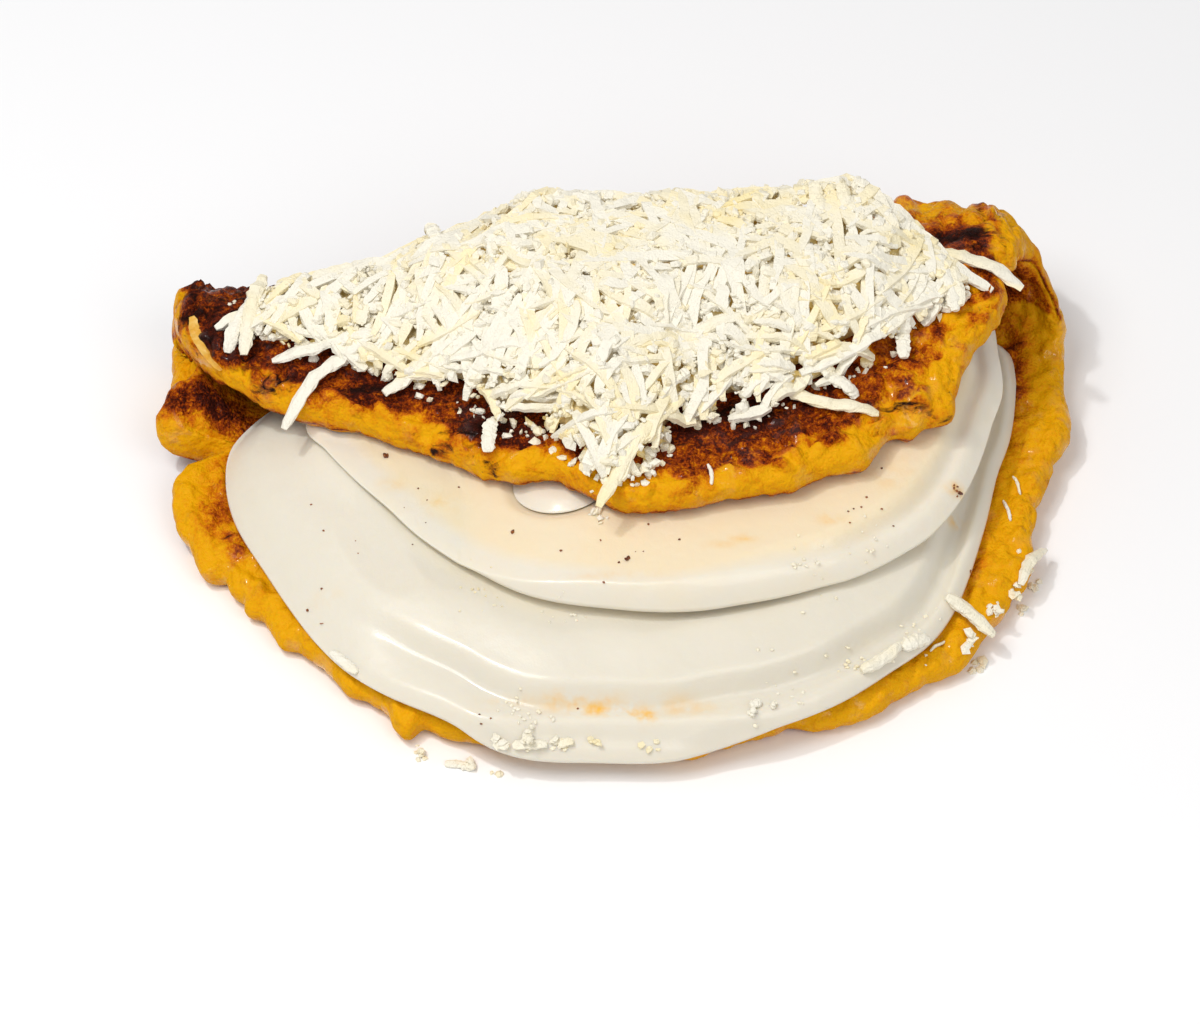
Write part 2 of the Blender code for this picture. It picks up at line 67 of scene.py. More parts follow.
def through(stations, value):  # a smooth curve through (place, amount) pairs
    last = len(stations) - 1
    after = min(max(bisect.bisect_right(stations, (value,)), 1), last)
    (low, first), (high, second) = stations[after - 1], stations[after]
    share = min(1.0, max(0.0, (value - low) / (high - low)))
    before, behind = stations[max(after - 2, 0)], stations[min(after + 1, last)]
    leaving = (second - before[1]) / (high - before[0]) * (high - low)
    coming = (behind[1] - first) / (behind[0] - low) * (high - low)
    left, square = 1.0 - share, share * share
    return ((1.0 + 2.0 * share) * left * left * first + share * left * left * leaving
            + square * (3.0 - 2.0 * share) * second - square * left * coming)


def rough(x, y, z, size):
    return noise.noise(Vector((x, y, z)) / size)


# camera, floor and lights

camera = {
    "distance": 1.09,
    "elevation": math.radians(50.0),
    "focus": (-0.0015, -0.0123, 0.020),
    "lens": 137.0,
}


def makeCamera():
    data = bpy.data.cameras.new("camera")
    data.lens = camera["lens"]
    data.sensor_width = 36.0
    data.clip_start = 0.05
    obj = bpy.data.objects.new("camera", data)
    scene.collection.objects.link(obj)
    focus = Vector(camera["focus"])
    lift = camera["elevation"]
    obj.location = focus + camera["distance"] * Vector((0.0, -math.cos(lift), math.sin(lift)))
    obj.rotation_euler = (focus - obj.location).to_track_quat("-Z", "Y").to_euler()
    scene.camera = obj


def makeFloor():
    mesh = bmesh.new()
    bmesh.ops.create_grid(mesh, x_segments=4, y_segments=4, size=3.0)
    data = bpy.data.meshes.new("floor")
    mesh.to_mesh(data)
    mesh.free()
    floor = bpy.data.objects.new("floor", data)
    scene.collection.objects.link(floor)
    finish = bpy.data.materials.new("paleFloor")
    finish.use_nodes = True
    shader = finish.node_tree.nodes["Principled BSDF"]
    shader.inputs["Base Color"].default_value = (0.95, 0.95, 0.96, 1.0)
    shader.inputs["Roughness"].default_value = 0.6
    data.materials.append(finish)


lights = (
    # name, place, size, watts, colour
    ("softbox", (-0.36, -0.26, 1.0), 0.50, 4.3, (1.0, 0.99, 0.97)),
    ("fill", (0.42, -0.62, 0.85), 0.70, 2.6, (1.0, 1.0, 1.0)),
    ("spark", (-0.38, -0.05, 0.95), 0.05, 2.2, (1.0, 1.0, 1.0)),
)


def makeLights():
    for name, place, size, power, colour in lights:
        data = bpy.data.lights.new(name, "AREA")
        data.shape = "DISK"
        data.size = size
        data.energy = power
        data.color = colour
        obj = bpy.data.objects.new(name, data)
        scene.collection.objects.link(obj)
        obj.location = place
        obj.rotation_euler = (-Vector(place)).to_track_quat("-Z", "Y").to_euler()
    world = bpy.data.worlds.new("studio")
    world.use_nodes = True
    world.node_tree.nodes["Background"].inputs["Color"].default_value = (1.0, 1.0, 1.0, 1.0)
    world.node_tree.nodes["Background"].inputs["Strength"].default_value = 0.44
    scene.world = world
    scene.view_settings.view_transform = "Standard"


makeCamera()
makeFloor()
makeLights()
print("camera, floor and lights are up")


# the pancake: laid flat, then folded as its solid is

pancake = {
    "radius": 109.0,
    "straight": 17.0,
    "squareness": 2.2,
    "thickness": 9.0,
    "outerRings": (20, 56),  # from the middle to ringChange, and from there to the rim
    "innerRings": (12, 30),
    "ringChange": (0.58, 0.78),
    "spokes": 720,
    "flapStart": 54.0,
    "outerFrom": 14.0,  # from here on it is toasted as the flap is
    "flapNarrowing": 0.045,
    "foldStart": (
        (-112, 111), (-60, 110.5), (-22, 118), (0, 121.5), (60, 123.5), (92, 123), (104, 117.5), (112, 111),
    ),
    "foldHeight": ((-112, 35.0), (-60, 37.0), (0, 43.0), (60, 47.5), (92, 48.5), (104, 45.5), (112, 41.0)),
    "flapSink": ((-112, 8.0), (-60, 7.0), (0, 3.0), (60, 5.5), (112, 7.0)),
    "flapSinkLength": 58.0,
    # direction in degrees from +X, and how far the rim reaches out there, in mm
    "rim": (
        (-180, -0.5), (-175, -0.6), (-171, 0.6), (-169.8, 2.6), (-168, 0.4), (-166.3, -13), (-165, -1.5),
        (-161, 1.2), (-158, 2.2), (-154.8, 0.9), (-149.8, 0.3), (-148.7, -3.3), (-146.4, -2.8), (-144, -3.8),
        (-142.6, -2.7), (-140.6, -5.2), (-135.8, -3.5), (-133.7, -5.4), (-128, -4.4), (-124, -2.7),
        (-118.6, -2), (-116.4, 1.9), (-114.6, 2.2), (-113.8, -1.8), (-110, -0.7), (-104, -1.7), (-91, -2.6),
        (-86, -1.6), (-82.4, 0.9), (-79, 1), (-76.3, -0.5), (-72.9, -1.9), (-70.5, -1), (-66.9, -2.5),
        (-64.4, 0.7), (-58.9, 2.6), (-53, 2.2), (-49.5, 2.8), (-46.3, 4.6), (-44.1, 5.3), (-39, 3.1),
        (-36.1, 3.6), (-33.3, 3.1), (-30.7, 3.7), (-26.4, 2.5), (-24.4, 0.6), (-21.5, 0.1), (-19.3, -0.5),
        (-14.2, 1.7), (-12.9, 1.5), (-9.5, 5), (-3.4, 3.7), (1.2, 4.4), (5, 3), (8, 0.3), (11, -2), (14, -3.3),
        (18, -2.6), (21, -1.2), (23.5, -3.5), (26, 0.5), (31.3, 2.2), (35, 1.3), (37, 1.4), (42.2, 4.7),
        (45.1, 8.3), (47.5, 6.2), (50.3, 5.2), (52.4, 2.8), (54.5, 4), (58.2, 6.2), (62.3, 3.6), (67, 3.8),
        (72.6, 2), (75.1, 1.2), (81, 1.9), (84.9, 1.8), (88, 0.7), (90.6, -1.6), (96.9, -10.2), (100, -13),
        (105.8, -13.2), (111.8, -18.1), (116, -20.2), (121, -22.3), (130, -22.3), (136.7, -16.2), (141, -11.8),
        (145.4, -7.9), (148.7, -5.4), (151.8, -2.9), (158.6, 1.2), (164.7, 0), (171, -0.8), (175, -0.5),
        (180, -0.5),
    ),
    "leftFill": (88.0, 103.0, 84.0, 101.0),  # the left end of the fold is closed between these -x and y
    "place": (0.8, -73.2),  # from these measures to the frame's
    "ridges": ((70.0, 14.0, 2.6), (98.0, 6.0, 1.2)),  # the fold bulges upwards here: x, spread, height
    "hump": (-112.0, 97.0, 17.0, 8.0, 9.0),  # x, y, spread in x, spread in y, height
}
halfThick = pancake["thickness"] / 2
frontToCentre = pancake["radius"] + pancake["straight"]


def roundedReach(angle):
    across, ahead = abs(math.cos(angle)), abs(math.sin(angle))
    power = pancake["squareness"]
    return pancake["radius"] / (across**power + ahead**power) ** (1 / power)


def rimReach(angle):
    across, ahead = math.cos(angle) * pancake["radius"], math.sin(angle) * pancake["radius"]
    reach = through(pancake["rim"], math.degrees(angle)) + 0.6 * rough(across, ahead, 9.0, 6.0)
    return reach + 0.6 * rough(across, ahead, 23.0, 2.6)


def foldRadius(x):
    return (along(pancake["foldHeight"], x) - pancake["thickness"]) / 2


def flapMiddle(x, y):
    ahead = along(pancake["foldStart"], x) - y
    sink = along(pancake["flapSink"], x) * ramp(ahead, 4.0, pancake["flapSinkLength"])
    wave = 0.8 * rough(x, y, 0.0, 38.0) * ramp(ahead, 0.0, 20.0)
    return halfThick + 2 * foldRadius(x) - sink + wave


def baseLift(x, y):
    humpX, humpY, spreadX, spreadY, height = pancake["hump"]
    curl = 3.5 * ramp(abs(x), 88.0, 114.0) * ramp(y, 25.0, 70.0)
    return curl + height * bell(x, humpX, spreadX) * bell(y, humpY, spreadY)


def filled(inward, x, y, room):  # the crumb swells into the fold at its left end
    if inward <= 0 or x >= 0:
        return inward
    fromX, toX, fromY, toY = pancake["leftFill"]
    return inward * (1.0 + ramp(-x, fromX, toX) * ramp(y, fromY, toY) * max(0.0, room) / halfThick)


def roomBetween(x, y):  # half the gap between the two layers, for closing it
    return (flapMiddle(x, y) - pancake["thickness"] - baseLift(x, y) - halfThick) / 2 - 0.3


def folded(across, ahead, inward):
    x = across
    start = pancake["flapStart"]
    if across > 0:
        x -= across * pancake["flapNarrowing"] * ramp(ahead, start - 22.0, start + 6.0)
    foldY = along(pancake["foldStart"], x)
    foldAhead = foldY - frontToCentre
    if ahead <= foldAhead:
        y = ahead + frontToCentre
        inward = filled(inward, x, y, roomBetween(x, y))
        return Vector((x, y, halfThick + inward + baseLift(x, y)))
    radius = foldRadius(x)
    if ahead < start:
        inward = filled(inward, x, foldY, radius - halfThick - 1.0)
        turn = math.pi * (ahead - foldAhead) / (start - foldAhead)
        if inward < 0:
            bulge = sum(high * bell(x, middle, spread) for middle, spread, high in pancake["ridges"])
            inward -= bulge * bell(math.degrees(turn), 125.0, 26.0)
        y = foldY + (radius - inward) * math.sin(turn)
        z = halfThick + radius - (radius - inward) * math.cos(turn)
        return Vector((x, y, z + baseLift(x, foldY) * (1 + math.cos(turn)) / 2))
    y = foldY - (ahead - start)
    return Vector((x, y, flapMiddle(x, y) - filled(inward, x, y, roomBetween(x, y))))


def polar(place):  # how far out it is, and in which direction
    return math.hypot(place.x, place.y), math.atan2(place.y, place.x)


def turnedBmesh(profile, spokes):  # profile of (radius, height), closed on the axis at both ends
    mesh = bmesh.new()
    bmesh.ops.create_grid(mesh, x_segments=spokes, y_segments=len(profile) - 1, size=1.0)
    for vert in mesh.verts:
        turn = math.pi * vert.co.x
        radius, height = profile[round((vert.co.y + 1.0) / 2.0 * (len(profile) - 1))]
        vert.co = Vector((radius * math.cos(turn), radius * math.sin(turn), height))
    bmesh.ops.remove_doubles(mesh, verts=mesh.verts, dist=1e-5)
    bmesh.ops.recalc_face_normals(mesh, faces=mesh.faces)
    return mesh


def addPiece(name, mesh, nodes, finish):
    data = bpy.data.meshes.new(name)
    bmesh.ops.translate(mesh, vec=(*pancake["place"], 0.0), verts=mesh.verts)
    bmesh.ops.scale(mesh, vec=(mm, mm, mm), verts=mesh.verts)
    mesh.to_mesh(data)
    mesh.free()
    data.shade_smooth()
    data.materials.append(finish)
    obj = bpy.data.objects.new(name, data)
    scene.collection.objects.link(obj)
    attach(obj, "root")
    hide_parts(*nodes)
    return obj


def addAmounts(obj, name, amounts):
    layer = obj.data.attributes.new(name, "FLOAT", "POINT")
    layer.data.foreach_set("value", np.array(amounts, dtype=np.float32))


# toasted places: x, y, spread in x and y, all in mm, and how much
toastSpots = (  # on the outer face, on top of the flap
    (-58, 84, 14, 5, 0.16), (-27, 72, 12, 7, 0.20), (26, 70, 17, 5, 0.20), (48, 82, 12, 4, 0.15),
    (70, 86, 9, 6, 0.12), (-96, 100, 8, 5, 0.15), (86, 123.5, 8, 5, 0.30),
)
charSpots = (
    (-101, 110, 9, 2.6, 1), (-96, 102.5, 11, 2.2, 0.9), (-103, 117, 7, 2.5, 0.8), (-86, 96, 8, 1.8, 0.5),
    (-80.5, 89, 6.5, 2.2, 1), (-57, 86.5, 11, 2.2, 0.7), (-48, 73, 2.6, 1.8, 0.9), (-41, 71, 4.5, 1.5, 0.9),
    (-30, 74, 9, 5, 0.9), (-28, 61, 1.8, 3.8, 1), (-8, 72, 9, 5, 0.8), (24, 73, 15, 3.4, 1),
    (48, 86, 10, 2.2, 0.9), (71, 74, 8, 1.3, 0.8), (86, 123.5, 8, 4.5, 1), (91, 139, 1.3, 4.5, 0.9),
    (68, 103, 6, 3, 0.6),
)
bandToastAndShade = (  # on the inner face, beside the cheese: partly browning, partly painted shade deep in the fold
    (-98, 98.5, 10, 4.5, 0.85), (-105, 96.5, 5, 3.5, 0.85), (-86, 95, 8, 5, 0.45), (-106, 95, 5, 3, 0.30),
    (-95, 68, 5, 7, 0.30), (-90, 59, 3, 5, 0.30), (99.5, 114, 4.5, 14, 0.30), (101, 86, 3.5, 10, 0.08),
    (92, 88, 3.5, 12, 0.06), (84, 55, 8, 6, 0.16), (62, 27, 10, 5, 0.14),
)
bandChar = (
    (99.5, 122, 4.5, 1.4, 1), (101.5, 107.5, 3, 1.2, 0.9), (96, 101, 1.2, 1.2, 0.8), (-92, 63, 1.5, 1.5, 0.8),
    (107, 80, 1.5, 1.5, 0.7),
)


def spotsAt(spots, x, y):
    amount = 0.0
    for spotX, spotY, spreadX, spreadY, most in spots:
        if abs(x - spotX) < 2.5 * spreadX and abs(y - spotY) < 2.5 * spreadY:
            amount = max(amount, most * bell(x, spotX, spreadX) * bell(y, spotY, spreadY))
    return amount


def toastAndShadeAt(place, edge, height, ahead, relief):
    # 0 is raw gold, 0.5 orange brown, 1 dark brown: mostly toasting, with painted shade in the rim's creases
    # and deep in the fold beside the cheese, and painted light on the right band; edge is the way in from the
    # rim in mm
    x, y = place.x, place.y
    broad = rough(x, y, 12.0 + place.z, 22.0)
    middling = rough(x, y, 31.0 + place.z, 8.0)
    small = rough(x, y, 51.0 + place.z, 2.8)
    onFlap = ahead > pancake["outerFrom"]
    if height < -0.5 * halfThick:
        leftEnd = ramp(-x, 80.0, 92.0)
        way = edge + 3.0 * broad + 3.5 * middling + 2.5 * small
        toastAndShade = 0.58 * ramp(way, 2.5 - 2.0 * leftEnd, 9.0 - 6.0 * leftEnd) + 0.14 * small
        toastAndShade += 0.06 * ramp(edge, 9.0, 20.0) + 0.12 * broad + 0.08 * middling + 0.05 * relief
        toastAndShade += (0.35 * middling + 0.25 * small - 0.14) * ramp(x, 30.0, 70.0)
        toastAndShade -= 0.34 * ramp(y, 126.0, 136.0)
        return toastAndShade + spotsAt(toastSpots, x, y)
    if height > 0.1 * halfThick and not onFlap or height > 0.6 * halfThick:
        # browner further in from the rim, towards the cheese: partly the inner face's browning, partly painted
        # depth shade
        toastAndShade = 0.20 * ramp(edge + 2.0 * broad + 2.0 * small, 4.0, 13.0) + 0.10 * middling
        toastAndShade += 0.08 * small + 0.03 * relief
        # less brown on the right band, where the slab's edge shades it: painted light
        toastAndShade -= 0.08 * ramp(x, 60.0, 90.0) * ramp(edge, 2.0, 8.0)
        if onFlap:
            toastAndShade += 0.5 * ramp(edge, 1.0, 3.0)
        return toastAndShade + spotsAt(bandToastAndShade, x, y)
    # the creases between the rim's lumps are made browner: painted crease shade
    toastAndShade = 0.05 + 0.10 * middling + 0.16 * ramp(-relief, 0.0, 1.2)
    if onFlap:
        toastAndShade += 0.50 * ramp(height, 0.2 * halfThick, 0.55 * halfThick)  # the lower edge is browned
    return toastAndShade


def charAt(place, edge, height, ahead):
    onFlap = ahead > pancake["outerFrom"]
    if height < 0 and onFlap:
        left = 0.56 * ramp(-place.x, 62.0, 92.0) * ramp(edge, 1.0, 5.0)
        middle = 0.40 * ramp(edge, 9.0, 18.0) * ramp(-place.x, -70.0, -40.0)
        return max(left, middle, spotsAt(charSpots, place.x, place.y))
    return spotsAt(bandChar, place.x, place.y) if height > 0 else 0.0


def lumps(x, y, z, size):  # round lumps with creases between them, about -0.4 to 1
    bend = 0.35 * size
    aside = bend * rough(x, y, z + 50.0, size)
    ahead = bend * rough(x, y, z + 90.0, size)
    return 2.2 * abs(rough(x + aside, y + ahead, z, size)) ** 0.8 - 0.5


def pancakeRelief(across, ahead, share, height):
    atRim = ramp(share, 0.84, 0.97)
    big = lumps(across, ahead, height, 9.0)
    small = lumps(across, ahead, 40.0 + height, 4.4)
    fine = rough(across, ahead, 7.0 + height, 2.6)
    if height > 0:
        return ramp(share, 0.74, 0.90) * (0.9 * big + 1.0 * small + 0.8 * fine - 0.7)
    onFlap = ramp(ahead, pancake["flapStart"] - 50.0, pancake["flapStart"] - 20.0)
    onRight = ramp(across, 20.0, 60.0)
    onLeft = ramp(-across, 70.0, 95.0)
    crag = (0.15 + 0.8 * onRight + 1.1 * atRim) * big
    crag += (0.25 + 0.9 * onRight + 0.6 * onLeft + 1.1 * atRim) * small
    return onFlap * (crag + (0.45 + 0.5 * onLeft + 0.6 * atRim) * fine)


def ringShares(counts, change, last):
    inside, outside = counts
    shares = [change * ring / inside for ring in range(inside)]
    return shares + [change + (last - change) * ring / outside for ring in range(outside)]


def pancakeProfile():
    flat = 1.0 - halfThick / pancake["radius"]
    outer = ringShares(pancake["outerRings"], pancake["ringChange"][0], flat)
    inner = ringShares(pancake["innerRings"], pancake["ringChange"][1], flat)
    rim = [(flat + (1.0 - flat) * math.cos(math.radians(turn)), halfThick * math.sin(math.radians(turn)))
           for turn in range(90, -91, -12)]
    return [(share, halfThick) for share in inner] + rim + [(share, -halfThick) for share in reversed(outer)]


def makePancake(finish):
    mesh = turnedBmesh(pancakeProfile(), pancake["spokes"])
    toastAndShade, char = [], []
    straight = pancake["straight"]
    for vert in mesh.verts:
        share, angle = polar(vert.co)
        reach = share * (roundedReach(angle) + rimReach(angle) * ramp(share, 0.55, 1.0))
        across, ahead = reach * math.cos(angle), reach * math.sin(angle)
        ahead += straight * math.tanh(ahead / (1.2 * straight))
        height = vert.co.z
        relief = pancakeRelief(across, ahead, share, height)
        vert.co = folded(across, ahead, height * (1.0 + relief / halfThick))
        vert.co.z = max(vert.co.z, 0.0)
        edge = (1.0 - share) * pancake["radius"]
        toastAndShade.append(min(1.0, max(0.0, toastAndShadeAt(vert.co, edge, height, ahead, relief))))
        char.append(charAt(vert.co, edge, height, ahead))
    obj = addPiece("cornPancake", mesh, ["corn_pancake"], finish)
    addAmounts(obj, "toastAndShade", toastAndShade)
    addAmounts(obj, "char", char)
    return obj


# shader helpers

class Tree:  # the nodes of a material or a group, with short ways to add to them
    def __init__(self, tree):
        self.tree = tree

    def fill(self, node, values):  # a socket among the values is linked, anything else is set
        for label, value in values.items():
            if isinstance(value, bpy.types.NodeSocket):
                self.tree.links.new(value, node.inputs[label])
            else:
                node.inputs[label].default_value = value
        return node

    def add(self, kind, **values):
        return self.fill(self.tree.nodes.new("ShaderNode" + kind), values)

    def place(self, group, **values):
        node = self.add("Group")
        node.node_tree = group
        return self.fill(node, values).outputs

    def maths(self, kind, first, second, clamp=False):
        node = self.fill(self.add("Math"), {0: first, 1: second})
        node.operation, node.use_clamp = kind, clamp
        return node.outputs[0]

    def plus(self, first, second, clamp=False):
        return self.maths("ADD", first, second, clamp)

    def minus(self, first, second):
        return self.maths("SUBTRACT", first, second)

    def times(self, first, second, clamp=False):
        return self.maths("MULTIPLY", first, second, clamp)

    def amount(self, name):  # what the piece itself says at each place
        node = self.add("Attribute")
        node.attribute_name = name
        return node.outputs["Fac"]

    def colours(self, factor, stops):
        node = self.add("ValToRGB", Fac=factor)
        band = node.color_ramp
        while len(band.elements) < len(stops):
            band.elements.new(0.5)
        for element, (place, colour) in zip(band.elements, stops):
            element.position, element.color = place, (*colour, 1.0)
        return node.outputs["Color"]

    def mix(self, factor, first, second):
        node = self.add("Mix")
        node.data_type = "RGBA"
        first, second = ((*value, 1.0) if isinstance(value, tuple) else value for value in (first, second))
        return self.fill(node, {0: factor, 6: first, 7: second}).outputs[2]  # its colour sockets

    def bump(self, height, distance, strength=1.0):
        return self.add("Bump", Height=height, Distance=distance, Strength=strength).outputs["Normal"]


def newMaterial(name):
    made = bpy.data.materials.new(name)
    made.use_nodes = True
    return made, Tree(made.node_tree), made.node_tree.nodes["Principled BSDF"]


def newGroup(name, inputs, outputs):  # inputs are label and value, outputs are labels
    group = bpy.data.node_groups.new(name, "ShaderNodeTree")
    for label, value in inputs.items():
        socket = group.interface.new_socket(label, in_out="INPUT", socket_type="NodeSocketFloat")
        socket.default_value = value
    for label in outputs:
        group.interface.new_socket(label, in_out="OUTPUT", socket_type="NodeSocketFloat")
    start, end = group.nodes.new("NodeGroupInput"), group.nodes.new("NodeGroupOutput")
    tree = Tree(group)
    return group, tree, tree.add("TexCoord").outputs["Object"], start.outputs, end


def makeCrumbGroup():
    # uneven crumb: a value for mottled colour and a height for bumps, in object space
    group, tree, place, start, end = newGroup("crumb", {"Scale": 300.0, "Detail": 5.0}, ("Mottle", "Height"))
    broad = tree.add("TexNoise", Vector=place, Scale=start["Scale"], Detail=start["Detail"], Roughness=0.62)
    grains = tree.add("TexVoronoi", Vector=place, Scale=tree.times(start["Scale"], 2.2))
    grains.feature = "SMOOTH_F1"
    tree.fill(grains, {"Smoothness": 0.6})
    lumps = tree.minus(1.0, grains.outputs["Distance"])
    mottle = broad.outputs["Fac"]
    tree.fill(end, {"Mottle": mottle, "Height": tree.plus(tree.times(lumps, 0.5), mottle)})
    return group


def makeSpeckGroup():
    # sparse dots of one size, as a mask
    group, tree, place, start, end = newGroup("specks", {"Scale": 120.0, "Size": 0.12, "Share": 0.3}, ("Mask",))
    cells = tree.add("TexVoronoi", Vector=place, Scale=start["Scale"])
    near = tree.maths("LESS_THAN", cells.outputs["Distance"], start["Size"])
    split = tree.add("SeparateColor", Color=cells.outputs["Color"])
    chosen = tree.maths("LESS_THAN", split.outputs["Red"], start["Share"])
    tree.fill(end, {"Mask": tree.times(near, chosen)})
    return group


def makeStreakGroup():
    # flaky streaks that run along X, 0 to 1
    group, tree, place, start, end = newGroup("streaks", {"Scale": 200.0}, ("Value",))
    stretch = tree.add("Mapping", Vector=place, Scale=(0.35, 1.0, 1.0))
    flakes = tree.add("TexNoise", Vector=stretch.outputs["Vector"], Scale=start["Scale"], Detail=5.0,
                      Roughness=0.65, Distortion=0.6)
    tree.fill(end, {"Value": flakes.outputs["Fac"]})
    return group


crumbGroup, speckGroup, streakGroup = makeCrumbGroup(), makeSpeckGroup(), makeStreakGroup()


pancakeFinish = {
    "stops": (
        (0.00, (0.790, 0.375, 0.002)), (0.18, (0.730, 0.275, 0.002)), (0.34, (0.590, 0.150, 0.002)),
        (0.52, (0.380, 0.066, 0.003)), (0.72, (0.180, 0.022, 0.003)), (0.92, (0.055, 0.008, 0.004)),
    ),
    "char": (0.020, 0.006, 0.004),
    # scale of the mottling, how much it changes the toast, and how deep it is in mm
    "layers": ((170.0, 0.90, 1.0), (520.0, 1.50, 1.0), (1500.0, 1.60, 0.50)),
    "fineFrom": 300.0,  # layers finer than this are deeper where it is brown
    "grainy": 0.22,
    "halo": 0.30,  # how much browner it is round the burnt places
    "streaks": (420.0, 4.2),  # scale, and how much they break up the burnt places
    "oily": (130.0, 0.55, 8.0),  # scale, where it begins and how sharply
}


def makePancakeFinish():
    made, tree, shader = newMaterial("cornCrust")
    values = pancakeFinish
    # the toast amount also carries painted shade in the rim's creases and deep in the fold, and painted light
    # on the right band
    toastAndShade, burnt = tree.amount("toastAndShade"), tree.amount("char")
    level, height = tree.plus(toastAndShade, tree.times(burnt, values["halo"])), None
    grainy = tree.plus(toastAndShade, values["grainy"])  # crust is coarser where it is brown
    for scale, amount, deep in values["layers"]:
        layer = tree.place(crumbGroup, Scale=scale, Detail=3.0)
        spread = tree.times(tree.minus(layer["Mottle"], 0.5), grainy)
        level = tree.plus(level, tree.times(spread, amount))
        raised = tree.times(layer["Height"], deep)
        if scale > values["fineFrom"]:
            raised = tree.times(raised, grainy)
        height = raised if height is None else tree.plus(height, raised)
    colour = tree.colours(tree.plus(level, 0.0, clamp=True), values["stops"])
    scale, amount = values["streaks"]
    streaks = tree.place(streakGroup, Scale=scale)
    streak = tree.times(tree.minus(streaks["Value"], 0.5), amount)
    burntLevel = tree.minus(tree.plus(burnt, streak), 0.50)
    onlyBurnt = tree.times(burnt, 5.0, clamp=True)
    burntMask = tree.times(tree.times(burntLevel, 1.5, clamp=True), onlyBurnt)
    height = tree.plus(height, tree.times(burntMask, 0.25))
    scale, least, sharpness = values["oily"]
    oily = tree.place(crumbGroup, Scale=scale, Detail=2.0)
    oilyMask = tree.times(tree.minus(oily["Mottle"], least), sharpness, clamp=True)
    tree.fill(shader, {
        "Base Color": tree.mix(burntMask, colour, values["char"]), "Normal": tree.bump(height, 0.0014, 0.95),
        "Coat Weight": tree.times(oilyMask, tree.minus(1.0, burntMask)), "Coat Roughness": 0.12,
        "Coat IOR": 1.4, "Roughness": 0.5, "Specular IOR Level": 0.07, "Subsurface Weight": 0.12,
        "Subsurface Radius": (1.0, 0.4, 0.06), "Subsurface Scale": 0.0010,
    })
    return made


cornPancake = makePancake(makePancakeFinish())
print("pancake folded")


# the two slabs of soft cheese and the small slice

slabs = {
    "gap": 0.55,
    "centreY": 109.0,
    "tuck": 0.9,
    "least": 1.0,
    "topRings": 90,
    "underRings": 16,
    "spokes": 380,
    "lipHeight": 5.2,  # the lip in front; its width and groove go by the direction in degrees
    "lipWidth": ((-132, 8.8), (-120, 11.2), (-90, 10.6), (-45, 7.0), (0, 6.0)),
    "lipGroove": ((-120, 0.5), (-80, 0.9), (-40, 1.8), (0, 1.6)),
    "lipFrom": (-136.0, -104.0),  # the lip fades out towards the left
    "stepHeight": 4.6,  # from the lip up to the crest
    "stepLength": 4.6,
    "trough": 1.5,  # a shallow hollow on the left, and how far in it runs
    "troughWay": ((-160, 16.0), (-120, 33.0)),
    "crown": 1.5,  # how far the upper slab swells in the middle
    "upperGroove": 2.2,  # beside its right edge
    "droop": 4.2,  # how far the lower slab hangs over the rim in front
}
lowerSlab = {
    "base": 9.0 + 0.55,
    "top": 22.5,
    "back": 17.0,
    "insets": (
        (-180, 34), (-171, 20.3), (-167, 14.8), (-162, 12.2), (-155, 10.8), (-145, 10.6), (-138, 9.2),
        (-131, 6.8), (-124, 3.6), (-118, 1.6), (-111, 0.2), (-106, -2.4), (-100, -4.4), (-92, -3.9), (-83, -4),
        (-77, -2.3), (-70, -1.9), (-62, -0.6), (-54, 1.3), (-47, 1.7), (-41, 3.9), (-35, 7), (-28, 9.9),
        (-18, 12), (-10, 10.4), (0, 8.6),
    ),
}
upperSlab = {
    "base": 22.5 + 0.55,
    "top": 33.0,
    "back": 16.0,
    "insets": (
        (-180, 50), (-162, 33.2), (-155, 35.8), (-147, 38), (-136, 39.8), (-126, 38.2), (-114, 33.9),
        (-104, 30.4), (-91, 28), (-76, 25.8), (-68, 25), (-57, 22.9), (-52, 20.9), (-43, 18), (-38, 16.2),
        (-30, 15.3), (-15, 15), (-8, 13.3), (0, 14),
    ),
}
smallSlice = {
    "place": (-11.5, 63.4),
    "half": (11.5, 9.6),
    "height": 3.4,
    "room": 3.5,
    "gap": 0.4,
    "lip": 0.9,
    "spokes": 120,
}


def pocketReach(x, y):
    inner = foldRadius(x) - halfThick
    behind = min(max(0.0, y - along(pancake["foldStart"], x)), inner)
    return math.sqrt(inner * inner - behind * behind)


def pocketFloor(x, y):
    if y <= along(pancake["foldStart"], x):
        return pancake["thickness"] + baseLift(x, y)
    return halfThick + foldRadius(x) - pocketReach(x, y) + baseLift(x, y)


def pocketCeiling(x, y):
    if y <= along(pancake["foldStart"], x):
        return flapMiddle(x, y) - halfThick
    return halfThick + foldRadius(x) + pocketReach(x, y)


def lowerSkin(inset, degrees, crest):
    width = along(slabs["lipWidth"], degrees)
    lip = slabs["lipHeight"] * math.sqrt(ramp(inset, -1.5, 3.5))
    step = slabs["stepHeight"] * ramp(inset, width - 0.5, width + slabs["stepLength"])
    rest = (crest - slabs["lipHeight"] - slabs["stepHeight"]) * ramp(inset, width + 2.0, width + 17.0)
    groove = along(slabs["lipGroove"], degrees) * bell(inset, width - 1.2, 2.2)
    stepped = lip + step + rest - groove
    smooth = crest * math.sqrt(ramp(inset, -1.5, 26.0))
    share = ramp(degrees, *slabs["lipFrom"])
    trough = slabs["trough"] * bell(inset, along(slabs["troughWay"], degrees), 6.5)
    return smooth + (stepped - smooth) * share - trough


